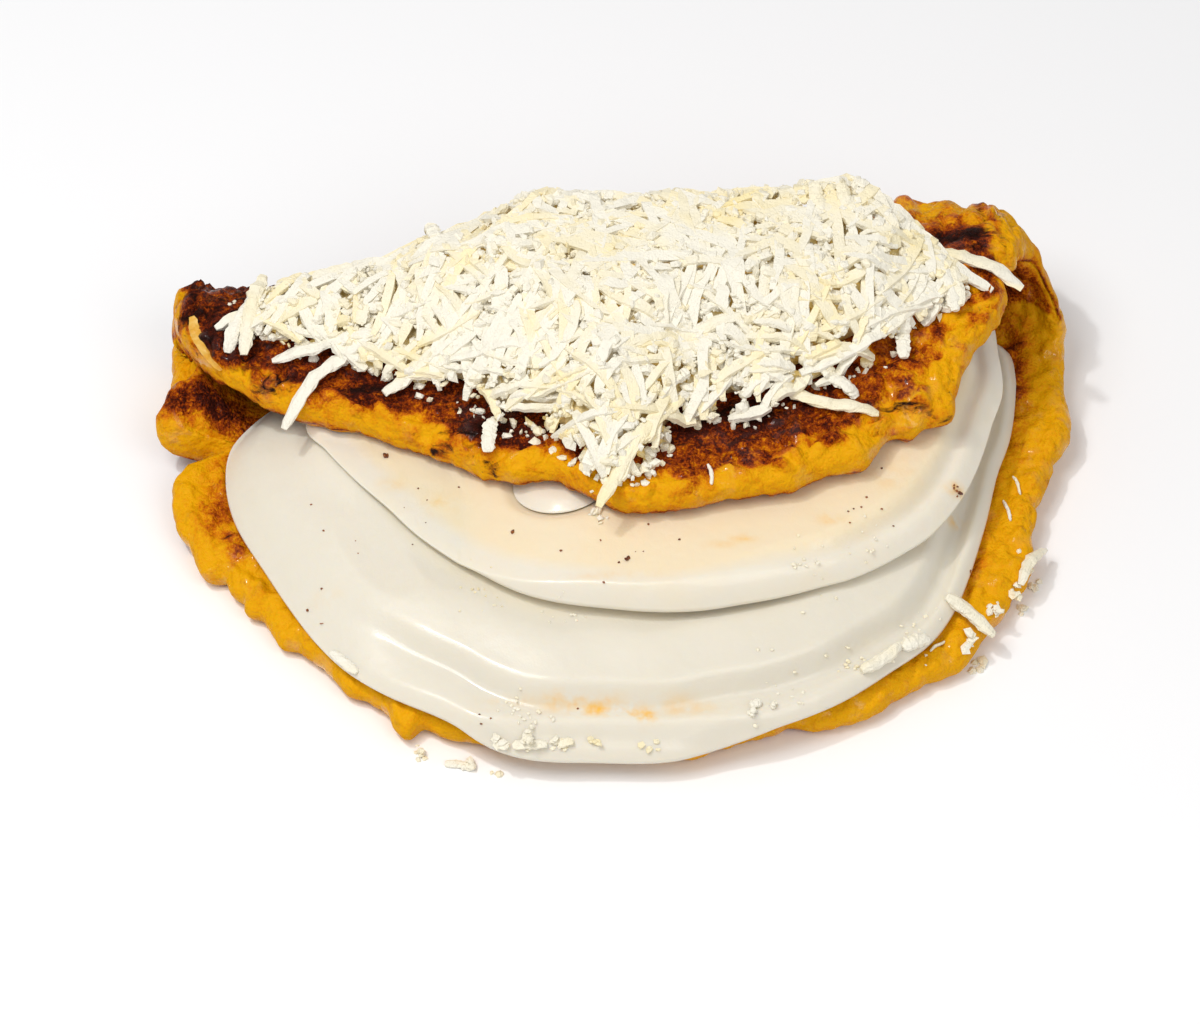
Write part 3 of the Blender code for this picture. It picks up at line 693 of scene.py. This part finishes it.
def upperSkin(inset, degrees, crest):
    onRight, onLeft = ramp(degrees, -75.0, -35.0), ramp(-degrees, 120.0, 150.0)
    side = (crest - slabs["crown"]) * math.sqrt(ramp(inset, -1.2, 5.5 + 5.0 * onRight + 3.0 * onLeft))
    groove = slabs["upperGroove"] * onRight * bell(inset, 6.5, 2.2)
    return side + slabs["crown"] * ramp(inset, 4.0, 20.0) - groove


def slabProfile():
    top, below = ([1.0 - (1.0 - ring / count) ** 1.7 for ring in range(count)]
                  for count in (slabs["topRings"], slabs["underRings"]))
    side = [(1.0, 0.7), (1.0, 0.35)]
    return [(share, 1.0) for share in top] + side + [(share, 0.0) for share in reversed(below)]


def slabReach(angle, insets, back):
    degrees = math.degrees(angle)
    sides = roundedReach(angle)
    sides -= through(insets, degrees if degrees <= 0 else -180.0 if degrees > 90 else 0.0)
    sides += 1.0 * rough(math.cos(angle) * 90.0, math.sin(angle) * 90.0, 5.0, 30.0)
    if degrees <= 0:
        return sides
    straight = back / max(math.sin(angle), 1e-6)
    return 1.0 / (sides**-6 + straight**-6) ** (1 / 6)


def sliceBed(x, y):
    across = (x - smallSlice["place"][0]) / (smallSlice["half"][0] + smallSlice["room"])
    ahead = (y - smallSlice["place"][1]) / (smallSlice["half"][1] + smallSlice["room"])
    return smallSlice["height"] * ramp(1.0 - math.hypot(across, ahead), 0.0, 0.45)


def makeSlab(name, node, slab, skin, finish):
    mesh = turnedBmesh(slabProfile(), slabs["spokes"])
    base, crest = slab["base"], slab["top"] - slab["base"]
    insets, stains = [], []
    for vert in mesh.verts:
        share, angle = polar(vert.co)
        reach = slabReach(angle, slab["insets"], slab["back"])
        x, y = share * reach * math.cos(angle), slabs["centreY"] + share * reach * math.sin(angle)
        inset = (1.0 - share) * reach
        bed = max(base, pocketFloor(x, y) + slabs["gap"])
        high = base + skin(inset, min(math.degrees(angle), 0.0), crest)
        high += 0.35 * rough(x, y, base, 14.0) * ramp(inset, 0.0, 4.0)
        high = max(min(high, pocketCeiling(x, y) - slabs["gap"]), bed + slabs["least"])
        low = min(bed + slabs["tuck"] * ramp(-inset, -4.0, 0.0), high - slabs["least"])
        z = low + (high - low) * vert.co.z
        if slab is upperSlab and z > base + slabs["tuck"] + 0.2:
            z -= sliceBed(x, y)
        if slab is lowerSlab:
            z -= slabs["droop"] * ramp(-y, -4.0, 1.5) * bell(x, 4.0, 52.0)
        vert.co = Vector((x, y, z))
        insets.append(inset)
        stains.append(spotsAt(cheeseStains, x, y))
    obj = addPiece(name, mesh, [node], finish)
    addAmounts(obj, "edgeWay", insets)
    addAmounts(obj, "stain", stains)
    return obj


def makeSmallSlice(finish):
    mesh = turnedBmesh(slabProfile(), smallSlice["spokes"])
    for vert in mesh.verts:
        x = smallSlice["place"][0] + vert.co.x * smallSlice["half"][0]
        y = smallSlice["place"][1] + vert.co.y * smallSlice["half"][1]
        share = math.hypot(vert.co.x, vert.co.y)
        ceiling = min(upperSlab["top"], pocketCeiling(x, y) - slabs["gap"])
        low = ceiling - sliceBed(x, y) + smallSlice["gap"]
        high = low + (ceiling - low) * math.sqrt(max(0.0, 1.0 - share**4))
        high += smallSlice["lip"] * ramp(-y, -55.0, -50.0) * (1.0 - share**6)
        vert.co = Vector((x, y, low + max(high - low, 0.25) * vert.co.z))
    return addPiece("smallCheeseSlice", mesh, ["small_cheese_slice"], finish)


# smudges: x, y, spread in x and y, all in mm, and how much
cheeseStains = (
    (-10, 7.2, 6, 1.8, 0.8), (-2.7, 6, 6, 1.8, 1.3), (4, 5.2, 5, 1.7, 1.4), (8, 4.6, 2.6, 1.8, 1.8),
    (18, 6.5, 8, 2.2, 0.5), (-22, 8, 7, 1.2, 0.35), (-29, 4, 8, 1.5, 0.20), (-66.6, 37.6, 3, 2.5, 0.22),
    (82.3, 62.4, 2.4, 1.4, 1.2), (31.5, 43.2, 3.6, 1.3, 0.65), (26, 41.5, 3, 1.3, 0.40),
    (52, 48.7, 2.6, 1.6, 0.55), (66, 62, 6, 4, 0.35), (-40, 60, 6, 3, 0.40), (-52, 66, 3, 2, 0.40),
    (0, 33, 10, 1.2, 0.30), (44, 62, 12, 3, 0.25),
)


def makeSoftCheeseFinish(name, body, cream, creamFrom):
    made, tree, shader = newMaterial(name)
    broad = tree.place(crumbGroup, Scale=30.0, Detail=3.0)
    middling = tree.place(crumbGroup, Scale=150.0, Detail=3.0)
    fine = tree.place(crumbGroup, Scale=900.0, Detail=2.0)
    specks = tree.place(speckGroup, Scale=150.0, Size=0.075, Share=0.05)
    tone = tree.times(tree.minus(broad["Mottle"], 0.5), 1.6)
    within = tree.times(tree.minus(tree.amount("edgeWay"), creamFrom), 0.25, clamp=True)
    colour = tree.mix(tree.plus(tone, within, clamp=True), body, cream)
    broken = tree.times(tree.minus(middling["Mottle"], 0.38), 4.0, clamp=True)
    stained = tree.times(tree.amount("stain"), broken, clamp=True)
    colour = tree.mix(stained, colour, (0.88, 0.50, 0.06))
    colour = tree.mix(specks["Mask"], colour, (0.22, 0.06, 0.02))
    height = tree.plus(broad["Height"], tree.times(middling["Height"], 0.30))
    height = tree.plus(height, tree.times(fine["Height"], 0.06))
    tree.fill(shader, {
        "Base Color": colour, "Normal": tree.bump(height, 0.0007, 0.7), "Roughness": 0.42,
        "Specular IOR Level": 0.35, "Coat Weight": 0.45, "Coat Roughness": 0.13, "Subsurface Weight": 0.5,
        "Subsurface Radius": (1.0, 0.85, 0.6), "Subsurface Scale": 0.0025,
    })
    return made


lowerFinish = makeSoftCheeseFinish("softCheeseWhite", (0.77, 0.72, 0.61), (0.76, 0.70, 0.56), 30.0)
upperFinish = makeSoftCheeseFinish("softCheeseCream", (0.81, 0.755, 0.64), (0.86, 0.735, 0.52), 5.0)
lowerPiece = makeSlab("lowerCheeseSlab", "lower_cheese_slab", lowerSlab, lowerSkin, lowerFinish)
upperPiece = makeSlab("upperCheeseSlab", "upper_cheese_slab", upperSlab, upperSkin, upperFinish)
slicePiece = makeSmallSlice(upperFinish)
print("cheese slabs laid")


# the heap of grated cheese

heap = {
    "front": (
        (-90, 101), (-84, 102), (-77, 98), (-67, 95), (-60, 91), (-50, 87.5), (-43, 84.5), (-37, 82.5),
        (-32, 79), (-26, 73), (-16, 69), (-11.8, 64.5), (-7, 57), (-2, 51.5), (3, 53), (9, 56), (13.7, 63.5),
        (17, 69), (21, 71), (31, 71.5), (40, 73.5), (45, 77.5), (52, 81), (59.5, 84), (67, 89), (72, 95),
        (77, 98), (83, 101.5), (86, 105.5),
    ),
    "back": (
        (-90, 107), (-86, 115), (-70, 118), (-50, 124), (-40, 127), (-30, 131), (-20, 134), (45, 135.5),
        (60, 136), (66, 132), (72, 126.5), (77, 120), (82, 114.5), (86, 110),
    ),
    "height": (
        (-90, 2.5), (-62, 6), (-40, 11), (-22, 15.5), (8, 15.5), (30, 12.5), (60, 12), (68, 8), (76, 4.5),
        (92, 2.5),
    ),
    "backwards": 0.45,  # the crest lies this much towards the back
    "top": 57.2,  # nothing of the core rises above this
    "gap": 0.4,
    "coreShare": 0.78,  # how much of the height the core takes
    "coreWidth": 0.8,
    "fullFrom": -0.92,  # nearer the front than this the cheese thins out
    "steps": 170,
    "sides": 110,
}
shreds = {
    "counts": (760, 240),  # under the crumbs and on top of them
    "width": 3.2,
    "thick": 1.5,
    "lengths": ((3.0, 20.0), (10.0, 28.0)),
    "proud": 1.4,  # how far a strip may stand out of the heap
    "spill": 1.02,
    "over": 1.06,  # how far over the heap's edge a strip may reach
    "room": 0.3,
    "tries": 20000,
    "seed": 5,
    "cell": 0.7,
    "low": (-114.0, -6.0),
    "high": (114.0, 150.0),
    # both ends in mm, how far it bends aside, and how far the far end is lifted
    "edge": (
        ((-77.9, 77.9), (-57, 96.5), 3, 0), ((-81.2, 94.5), (-56.5, 97), 0.8, 0),
        ((-92, 98), (-86.5, 111), 1, 0), ((-88, 96), (-84, 119), 0.8, 1.5), ((-54, 83.3), (-36, 93), 0.8, 0),
        ((-39, 88.5), (-15.5, 84.5), 0.6, 0), ((-28.8, 64.5), (-27.9, 73.5), 0.3, 0),
        ((-2.6, 44.5), (17, 73), 1.2, 0), ((63.5, 72), (40, 78), 1.6, 0), ((58.5, 76), (50, 82), -0.5, 0),
        ((45, 80), (77, 104.5), -3.5, 0), ((70, 86), (70.5, 97), 0.4, 0), ((82.8, 99), (77, 113.5), -0.8, 0),
        ((84, 100.5), (80.5, 114), -0.4, 0), ((73, 117.5), (99.5, 109.5), 1.4, 0), ((2, 81), (31, 92), 1, 0),
        ((-41, 117.5), (-43.5, 127.5), 0.5, 8), ((59, 122), (56, 129), 0.8, 2),
        ((52, 122), (49.5, 130), 0.8, 1.5),
    ),
    "steepest": 0.55,  # how far a strip may drop for each mm of its length
}
crumbs = {"counts": (3400, 1200), "sizes": (0.42, 1.6), "spill": 1.14, "ragged": 0.28, "seed": 8}


heapLeft, heapRight = heap["front"][0][0], heap["front"][-1][0]


def flapTop(x, y):
    return flapMiddle(x, y) + halfThick


def heapMiddle(x):
    front, back = through(heap["front"], x), through(heap["back"], x)
    return (front + back) / 2, (back - front) / 2


def heapShare(x, y):  # -1 at the front edge and 1 at the back
    middle, half = heapMiddle(x)
    return (y - middle) / half


def heapRise(x, y):
    share = min(1.0, max(-1.0, heapShare(x, y)))
    ends = ramp(x, heapLeft - 0.1, heapLeft + 14.0) * ramp(-x, -heapRight - 0.1, 14.0 - heapRight)
    rise = through(heap["height"], x) * math.sqrt(ends * (1.0 - share**2)) * (1.0 + heap["backwards"] * share)
    rise *= 1.0 + 0.3 * rough(x, y, 60.0, 11.0)
    return min(rise, heap["top"] - flapTop(x, y))


def makeHeapCore(finish):
    mesh = bmesh.new()
    bmesh.ops.create_uvsphere(mesh, u_segments=heap["sides"], v_segments=heap["steps"], radius=1.0)
    for vert in mesh.verts:
        x = (heapLeft + heapRight) / 2 + (heapRight - heapLeft) / 2 * vert.co.z
        girth = math.hypot(vert.co.x, vert.co.y)
        side = vert.co.x / max(girth, 1e-6)
        middle, half = heapMiddle(x)
        y = middle + side * girth * half * heap["coreWidth"]
        bottom = flapTop(x, y) + heap["gap"]
        top = bottom + heap["coreShare"] * heapRise(x, y)
        crag = 1.1 * rough(x, y, 4.0, 2.6)
        z = top + crag * ramp(top - bottom, 0.2, 2.0) if vert.co.y > 0 else bottom
        vert.co = Vector((x, y, z))
    bmesh.ops.remove_doubles(mesh, verts=mesh.verts, dist=1e-4)
    bmesh.ops.recalc_face_normals(mesh, faces=mesh.faces)
    return addPiece("gratedCore", mesh, ["grated_cheese"], finish)


def surfaceOf(pieces):  # for finding the height of what lies below a place, in mm
    mesh = bmesh.new()
    for obj in pieces:
        mesh.from_mesh(obj.data)
    bmesh.ops.scale(mesh, vec=(1 / mm, 1 / mm, 1 / mm), verts=mesh.verts)
    bmesh.ops.translate(mesh, vec=(-pancake["place"][0], -pancake["place"][1], 0.0), verts=mesh.verts)
    surface = BVHTree.FromBMesh(mesh)
    mesh.free()
    return surface


class Ground:  # the heights that falling cheese lands on, as a grid of cells
    def __init__(self, surface):
        cell = shreds["cell"]
        self.low = shreds["low"]
        self.size = [int((b - a) / cell) + 1 for a, b in zip(shreds["low"], shreds["high"])]
        self.top = np.zeros(self.size)
        self.crest = np.zeros(self.size)
        for i in range(self.size[0]):
            for j in range(self.size[1]):
                x, y = self.low[0] + i * cell, self.low[1] + j * cell
                hit = surface.ray_cast(Vector((x, y, 100.0)), Vector((0.0, 0.0, -1.0)))[0]
                self.top[i, j] = hit.z if hit else 0.0
                self.crest[i, j] = flapTop(x, y) + heapRise(x, y) + 1.5

    def cellAt(self, x, y):
        i = int(round((x - self.low[0]) / shreds["cell"]))
        j = int(round((y - self.low[1]) / shreds["cell"]))
        return min(max(i, 0), self.size[0] - 1), min(max(j, 0), self.size[1] - 1)

    def height(self, x, y):
        return self.top[self.cellAt(x, y)]

    def crestAt(self, x, y):
        return self.crest[self.cellAt(x, y)]

    def cover(self, x, y, half, height):
        i, j = self.cellAt(x, y)
        reach = max(1, int(half / shreds["cell"]))
        patch = self.top[max(0, i - reach):i + reach + 1, max(0, j - reach):j + reach + 1]
        np.maximum(patch, height, out=patch)


def keptTemplate(name, mesh):  # a shape to copy, with the places of its corners
    data = bpy.data.meshes.new(name)
    mesh.to_mesh(data)
    mesh.free()
    places = np.empty(len(data.vertices) * 3)
    data.vertices.foreach_get("co", places)
    return data, places.reshape(-1, 3)


def barTemplate(segments, sides):  # a bar along X from 0 to 1 with a rounded square section
    mesh = bmesh.new()
    bmesh.ops.create_circle(mesh, cap_ends=True, segments=sides, radius=0.5)
    for vert in mesh.verts:
        turn = math.atan2(vert.co.y, vert.co.x) + math.pi / sides
        reach = 0.5 / max(abs(math.cos(turn)), abs(math.sin(turn))) ** 0.6
        vert.co = Vector((0.0, reach * math.cos(turn), reach * math.sin(turn)))
    front = list(mesh.faces)
    for _ in range(segments):
        grown = bmesh.ops.extrude_face_region(mesh, geom=front)["geom"]
        front = [item for item in grown if isinstance(item, bmesh.types.BMFace)]
        moved = [item for item in grown if isinstance(item, bmesh.types.BMVert)]
        bmesh.ops.translate(mesh, vec=(1.0 / segments, 0, 0), verts=moved)
    bmesh.ops.recalc_face_normals(mesh, faces=mesh.faces)
    return keptTemplate("bar", mesh)


def curdTemplate():
    mesh = bmesh.new()
    bmesh.ops.create_icosphere(mesh, subdivisions=1, radius=1.0)
    return keptTemplate("curd", mesh)


def raggedCurd(ball, draw):
    return ball * (1.0 + crumbs["ragged"] * draw.standard_normal(len(ball)))[:, None]


def settle(ground, flat, thick, stiffness=14):  # a strip lies on what is highest below it
    under = np.array([ground.height(x, y) for x, y in flat])
    line = under.copy()
    for _ in range(stiffness):
        eased = line.copy()
        eased[1:-1] = (line[:-2] + line[2:]) / 2
        eased[0], eased[-1] = 2 * line[1] - line[2], 2 * line[-2] - line[-3]
        line = np.maximum(under, 0.8 * eased + 0.2 * line - 0.02)
    drop = shreds["steepest"] * np.linalg.norm(np.diff(flat, axis=0), axis=1)
    for index in range(1, len(line)):
        line[index] = max(line[index], line[index - 1] - drop[index - 1])
    for index in range(len(line) - 2, -1, -1):
        line[index] = max(line[index], line[index + 1] - drop[index])
    crest = np.array([ground.crestAt(x, y) for x, y in flat]) + shreds["proud"]
    return np.minimum(line + thick / 2, crest)


def bentShred(template, flat, heights, width, thick, draw, twist):
    bar, places = template
    count = len(flat) - 1
    spine = np.column_stack([flat, heights])
    at = np.clip(places[:, 0], 0.0, 1.0) * count
    index = np.minimum(at.astype(int), count - 1)
    part = (at - index)[:, None]
    centre = spine[index] * (1 - part) + spine[index + 1] * part
    ahead = np.gradient(spine, axis=0)
    ahead = ahead[index] * (1 - part) + ahead[index + 1] * part
    ahead /= np.linalg.norm(ahead, axis=1)[:, None]
    side = np.cross(ahead, np.array([0.0, 0.0, 1.0]))
    side /= np.linalg.norm(side, axis=1)[:, None]
    up = np.cross(side, ahead)
    roll = (twist * (places[:, 0] - 0.5))[:, None]
    rolledSide = side * np.cos(roll) + up * np.sin(roll)
    rolledUp = up * np.cos(roll) - side * np.sin(roll)
    ragged = 1.0 + 0.11 * draw.standard_normal(len(places))
    taper = 1.0 - 0.45 * np.abs(2 * places[:, 0] - 1) ** 5
    across = places[:, 1] * width * ragged * taper
    rise = places[:, 2] * thick * ragged * taper
    return bar, centre + rolledSide * across[:, None] + rolledUp * rise[:, None]


def joinedPiece(name, parts, node, finish):  # parts are (template, places) pairs
    mesh = bmesh.new()
    for template, _ in parts:
        mesh.from_mesh(template)
    for vert, place in zip(mesh.verts, np.vstack([places for _, places in parts])):
        vert.co = place
    obj = addPiece(name, mesh, [node], finish)
    obj.data.shade_flat()  # cheese breaks with small facets
    return obj


def gratedPiece(name, parts, tintAndGlow, finish):
    addAmounts(joinedPiece(name, parts, "grated_cheese", finish), "tintAndGlow", tintAndGlow)


def placeInHeap(draw, spill):
    low, high = (heapLeft, shreds["low"][1]), (heapRight, shreds["high"][1])
    while True:
        x, y = draw.uniform(low, high)
        share = heapShare(x, y)
        kept = draw.uniform() < ramp(share, -spill, heap["fullFrom"])
        if share <= 1.0 and kept:
            return x, y


def curvedLine(start, end, bend, steps):
    start, end = np.array(start), np.array(end)
    aside = np.array([start[1] - end[1], end[0] - start[0]])
    aside = aside / np.linalg.norm(aside) * bend
    shares = np.linspace(0.0, 1.0, steps + 1)
    return start + (end - start) * shares[:, None] + aside * np.sin(math.pi * shares)[:, None]


def glowDepth(ground, x, y, z):  # deeper in the heap it is yellower and glows: painted glow of light through the cheese
    inside = ramp(1.0 - abs(heapShare(x, y)), 0.0, 0.2)
    return max(0.0, ground.crestAt(x, y) - z - 0.5) * inside


def layShred(ground, draw, flat, width, thick, template, parts, tintAndGlow, lift=0.0):
    heights = settle(ground, flat, thick) + lift * np.linspace(0.0, 1.0, len(flat)) ** 1.5
    parts.append(bentShred(template, flat, heights, width, thick, draw, draw.uniform(-0.6, 0.6)))
    # each point gets its piece's random tint plus a painted glow that grows with depth
    tint = draw.uniform(-1.0, 1.0)
    tintAndGlow.extend(glowDepth(ground, *point) + tint for point in parts[-1][1])
    for (x, y), z in zip(flat, heights):
        ground.cover(x, y, width * 0.35, z + thick * 0.42)


def makeShreds(name, ground, layer, finish):
    plain, detailed = barTemplate(8, 4), barTemplate(18, 8)
    draw = np.random.default_rng(shreds["seed"] + layer)
    shortest, longest = shreds["lengths"][layer]
    parts, tintAndGlow = [], []
    tries = 0
    while len(parts) < shreds["counts"][layer] and tries < shreds["tries"]:
        tries += 1
        x, y = placeInHeap(draw, shreds["spill"])
        if ground.crestAt(x, y) + layer - ground.height(x, y) < shreds["room"]:
            continue
        turn = draw.uniform(0.0, math.tau)
        length = shortest + (longest - shortest) * draw.uniform() ** 2.4
        reach = np.array([math.cos(turn), math.sin(turn)]) * length / 2
        ends = (np.array([x, y]) - reach, np.array([x, y]) + reach)
        if max(abs(heapShare(*ends[0])), abs(heapShare(*ends[1]))) > shreds["over"]:
            continue
        width = shreds["width"] * draw.uniform(0.6, 1.1)
        flat = curvedLine(*ends, draw.uniform(-0.09, 0.09) * length, 8)
        thick = shreds["thick"] * draw.uniform(0.7, 1.15)
        layShred(ground, draw, flat, width, thick, plain, parts, tintAndGlow)
    if layer:
        width, thick = shreds["width"] * 1.05, shreds["thick"] * 1.15
        for start, end, bend, lift in shreds["edge"]:
            flat = curvedLine(start, end, bend, 18)
            layShred(ground, draw, flat, width, thick, detailed, parts, tintAndGlow, lift)
    print(name, "laid:", len(parts), "strips after", tries, "tries")
    gratedPiece(name, parts, tintAndGlow, finish)


def makeCrumbs(name, ground, layer, finish):
    curd, ball = curdTemplate()
    draw = np.random.default_rng(crumbs["seed"] + layer)
    parts, tintAndGlow = [], []
    smallest, largest = crumbs["sizes"]
    while len(parts) < crumbs["counts"][layer]:
        x, y = placeInHeap(draw, crumbs["spill"])
        size = smallest + (largest - smallest) * draw.uniform() ** 2
        stretch = draw.uniform(0.5, 1.3, 3) * size
        points = raggedCurd(ball, draw) * stretch
        turn = draw.uniform(0.0, math.tau)
        across, ahead = math.cos(turn), math.sin(turn)
        spin = np.array([[across, -ahead, 0], [ahead, across, 0], [0, 0, 1]])
        lie = min(ground.height(x, y) + 0.35 * size, ground.crestAt(x, y) + 0.6 + layer)
        points = points @ spin.T + np.array([x, y, lie])
        parts.append((curd, points))
        tint = draw.uniform(-1.0, 0.8)
        tintAndGlow.extend(glowDepth(ground, *point) + tint for point in points)
        ground.cover(x, y, size * 0.5, lie + 0.3 * size)
    gratedPiece(name, parts, tintAndGlow, finish)


def makeGratedFinish(name, fresh, tintAndGlow, paintsGlow):
    made, tree, shader = newMaterial(name)
    fine = tree.place(crumbGroup, Scale=1100.0, Detail=3.0)
    broad = tree.place(crumbGroup, Scale=45.0, Detail=3.0)
    tone = tree.times(tree.minus(broad["Mottle"], 0.45), 2.0)
    if paintsGlow:
        tintAndGlowAmount = tree.amount("tintAndGlow")
        # yellower deeper in the heap: painted glow, on top of each piece's random tint
        tone = tree.plus(tone, tree.times(tintAndGlowAmount, 0.40), clamp=True)
        gapGlow = tree.times(tree.minus(tintAndGlowAmount, 0.5), 0.32, clamp=True)  # painted glow: emission in the deep gaps stands in for light coming through the cheese
        glow = tree.mix(gapGlow, (0.0, 0.0, 0.0), (1.0, 0.72, 0.24))
        tree.fill(shader, {"Emission Color": glow, "Emission Strength": 0.30})
    tree.fill(shader, {
        "Base Color": tree.mix(tone, fresh, tintAndGlow), "Normal": tree.bump(fine["Height"], 0.0005, 0.7),
        "Roughness": 0.55, "Specular IOR Level": 0.3,
    })
    return made


shredFinish = makeGratedFinish("gratedCheeseWhite", (0.905, 0.86, 0.735), (0.92, 0.77, 0.38), True)
# the core is a deeper yellow than the strips, so the gaps between them look golden: painted glow of light
# through the cheese
coreFinish = makeGratedFinish("gratedCheeseCream", (0.94, 0.80, 0.46), (0.92, 0.72, 0.30), False)
heapCore = makeHeapCore(coreFinish)
ground = Ground(surfaceOf([cornPancake, lowerPiece, upperPiece, slicePiece, heapCore]))
makeShreds("cheeseShreds", ground, 0, shredFinish)
makeCrumbs("cheeseCrumbs", ground, 0, shredFinish)
makeShreds("topShreds", ground, 1, shredFinish)
makeCrumbs("topCrumbs", ground, 1, shredFinish)
print("grated cheese heaped")

# what has fallen off the heap, and bits of crust and batter

fallen = {
    "strips": (
        # both ends, bend, width and thickness, all in mm
        ((79.5, 38.8), (91, 32.5), 0.5, 3.2, 2.4), ((58.7, 16.6), (67.9, 24.2), -0.6, 3.1, 2.4),
        ((68.6, 23.5), (74.9, 27.2), 0.3, 3.7, 2.6), ((98.2, 48), (105, 61.5), 0.6, 2.6, 1.8),
        ((-65.5, 24.6), (-59.2, 18.2), 0, 2.3, 1.3), ((95.4, 73.6), (96.7, 66.7), 0.3, 0.8, 0.7),
        ((79.1, 30.5), (75.5, 26.5), 0.1, 0.7, 0.6), ((98, 80), (99.5, 74.5), 0.3, 0.7, 0.6),
        ((23, 57.5), (23.8, 52.5), 0.4, 0.9, 0.8), ((32.5, 6), (35, 7.5), 0, 2, 1.6),
        ((-38.5, 0.6), (-31.5, -0.8), 0.3, 2.2, 1.2), ((-22.5, -2), (-14.5, -2.2), 0.2, 2.6, 1.4),
        ((-12, -1.8), (-8.5, -1), 0, 2.4, 1.2),
    ),
    # places, spread, number of curds and their size
    "clusters": (
        ((-22, 7), 2.6, 10, 0.50), ((-33, 0.6), 1.8, 9, 0.95), ((-26, -1.4), 1.5, 10, 0.95),
        ((-19, -1.8), 1.6, 16, 0.95), ((-12.5, -1.8), 1.5, 10, 0.85), ((-18, 2), 5, 14, 0.45),
        ((-3.5, -1.2), 1.8, 6, 0.75), ((9.5, -1.2), 1.6, 5, 0.75), ((-44.4, 3.6), 1.4, 12, 0.70),
        ((32.5, 3.6), 1.8, 8, 0.80), ((37.7, 6.4), 1.2, 6, 0.60), ((65.8, 20.1), 1, 5, 0.60),
        ((85.9, 30), 2.4, 12, 1.15), ((92, 40), 2, 10, 0.80), ((97, 46.5), 2, 10, 1.05),
        ((101.5, 54.5), 3.5, 9, 0.90), ((48, 37), 6, 16, 0.40), ((60, 44), 5, 12, 0.38),
        ((40, 12), 8, 14, 0.40), ((58, 20), 6, 14, 0.45), ((72, 32), 7, 12, 0.40), ((-30, 36), 9, 14, 0.30),
        ((-12, 29), 6, 12, 0.32), ((-91.5, 114), 1.2, 3, 0.55),
    ),
    "tintAndGlow": 0.3,
    "seed": 21,
}
flecks = {
    # dark crumbs of crust on the cheese: places, spread, number and size
    "clusters": (
        ((-23, 48.8), 0.7, 2, 0.50), ((-11.6, 40.9), 0.5, 1, 0.45), ((4.3, 37.8), 0.8, 2, 0.50),
        ((16.2, 43), 0.6, 1, 0.55), ((64.6, 64), 0.6, 1, 0.55), ((-35.9, 65), 0.5, 1, 0.45),
        ((-53.5, 75), 0.8, 3, 0.60), ((2, 41), 9, 8, 0.28), ((60, 50), 9, 7, 0.28),
        ((82.3, 62.4), 1.3, 7, 0.50), ((-60, 55), 16, 5, 0.25), ((-66, 36), 9, 4, 0.28),
        ((-28, 3.5), 2, 3, 0.28), ((-48, 62), 6, 4, 0.30),
    ),
    "seed": 33,
}


def scatter(ground, clusters, seed, flat):
    curd, ball = curdTemplate()
    draw = np.random.default_rng(seed)
    parts = []
    for middle, spread, count, size in clusters:
        for _ in range(count):
            x, y = np.array(middle) + draw.standard_normal(2) * spread * 0.5
            grain = size * draw.uniform(0.6, 1.3)
            points = raggedCurd(ball, draw) * grain
            points[:, 2] *= flat
            lie = ground.height(x, y) + 0.4 * grain * flat
            points += np.array([x, y, lie])
            points[:, 2] = np.maximum(points[:, 2], 0.0)
            parts.append((curd, points))
            ground.cover(x, y, grain * 0.5, lie + 0.2 * grain)
    return parts


def makeFallenCheese(ground, finish):
    template = barTemplate(12, 8)
    draw = np.random.default_rng(fallen["seed"])
    parts = []
    for start, end, bend, width, thick in fallen["strips"]:
        flat = curvedLine(start, end, bend, 12)
        bar, points = bentShred(template, flat, settle(ground, flat, thick), width, thick, draw, 0.3)
        points[:, 2] = np.maximum(points[:, 2], 0.0)
        parts.append((bar, points))
    parts += scatter(ground, fallen["clusters"], fallen["seed"], 0.6)
    gratedPiece("fallenCheese", parts, [fallen["tintAndGlow"]] * sum(len(points) for _, points in parts), finish)


peel = {"ends": ((-101.5, 109.6), (-93.6, 95.3)), "bend": -1.5, "width": 2.6, "thick": 0.5, "seed": 3}


def makeCrustFinish(name, scale, dark, light, deep, values):
    made, tree, shader = newMaterial(name)
    grain = tree.place(crumbGroup, Scale=scale, Detail=3.0)
    colour = tree.colours(grain["Mottle"], ((0.40, dark), (0.60, light)))
    tree.fill(shader, {"Base Color": colour, "Normal": tree.bump(grain["Height"], deep), **values})
    return made


def makePeel(ground):  # a thin skin that has come off the flap's left end
    finish = makeCrustFinish("paleCrust", 350.0, (0.76, 0.46, 0.10), (0.72, 0.36, 0.04), 0.0006,
                             {"Roughness": 0.35, "Specular IOR Level": 0.25})
    flat = curvedLine(*peel["ends"], peel["bend"], 14)
    draw = np.random.default_rng(peel["seed"])
    thick = peel["thick"]
    skin = bentShred(barTemplate(14, 8), flat, settle(ground, flat, thick), peel["width"], thick, draw, 0.8)
    joinedPiece("peeledSkin", [skin], "corn_pancake", finish)


def makeFlecks(ground):
    finish = makeCrustFinish("crustFlecks", 500.0, (0.10, 0.022, 0.006), (0.30, 0.09, 0.015), 0.0004,
                             {"Roughness": 0.5})
    bits = scatter(ground, flecks["clusters"], flecks["seed"], 0.35)
    joinedPiece("crustFlecks", bits, "corn_pancake", finish)


openGround = Ground(surfaceOf([cornPancake, lowerPiece, upperPiece, slicePiece]))
makeFallenCheese(openGround, shredFinish)
makePeel(openGround)
makeFlecks(openGround)
print("fallen bits scattered")
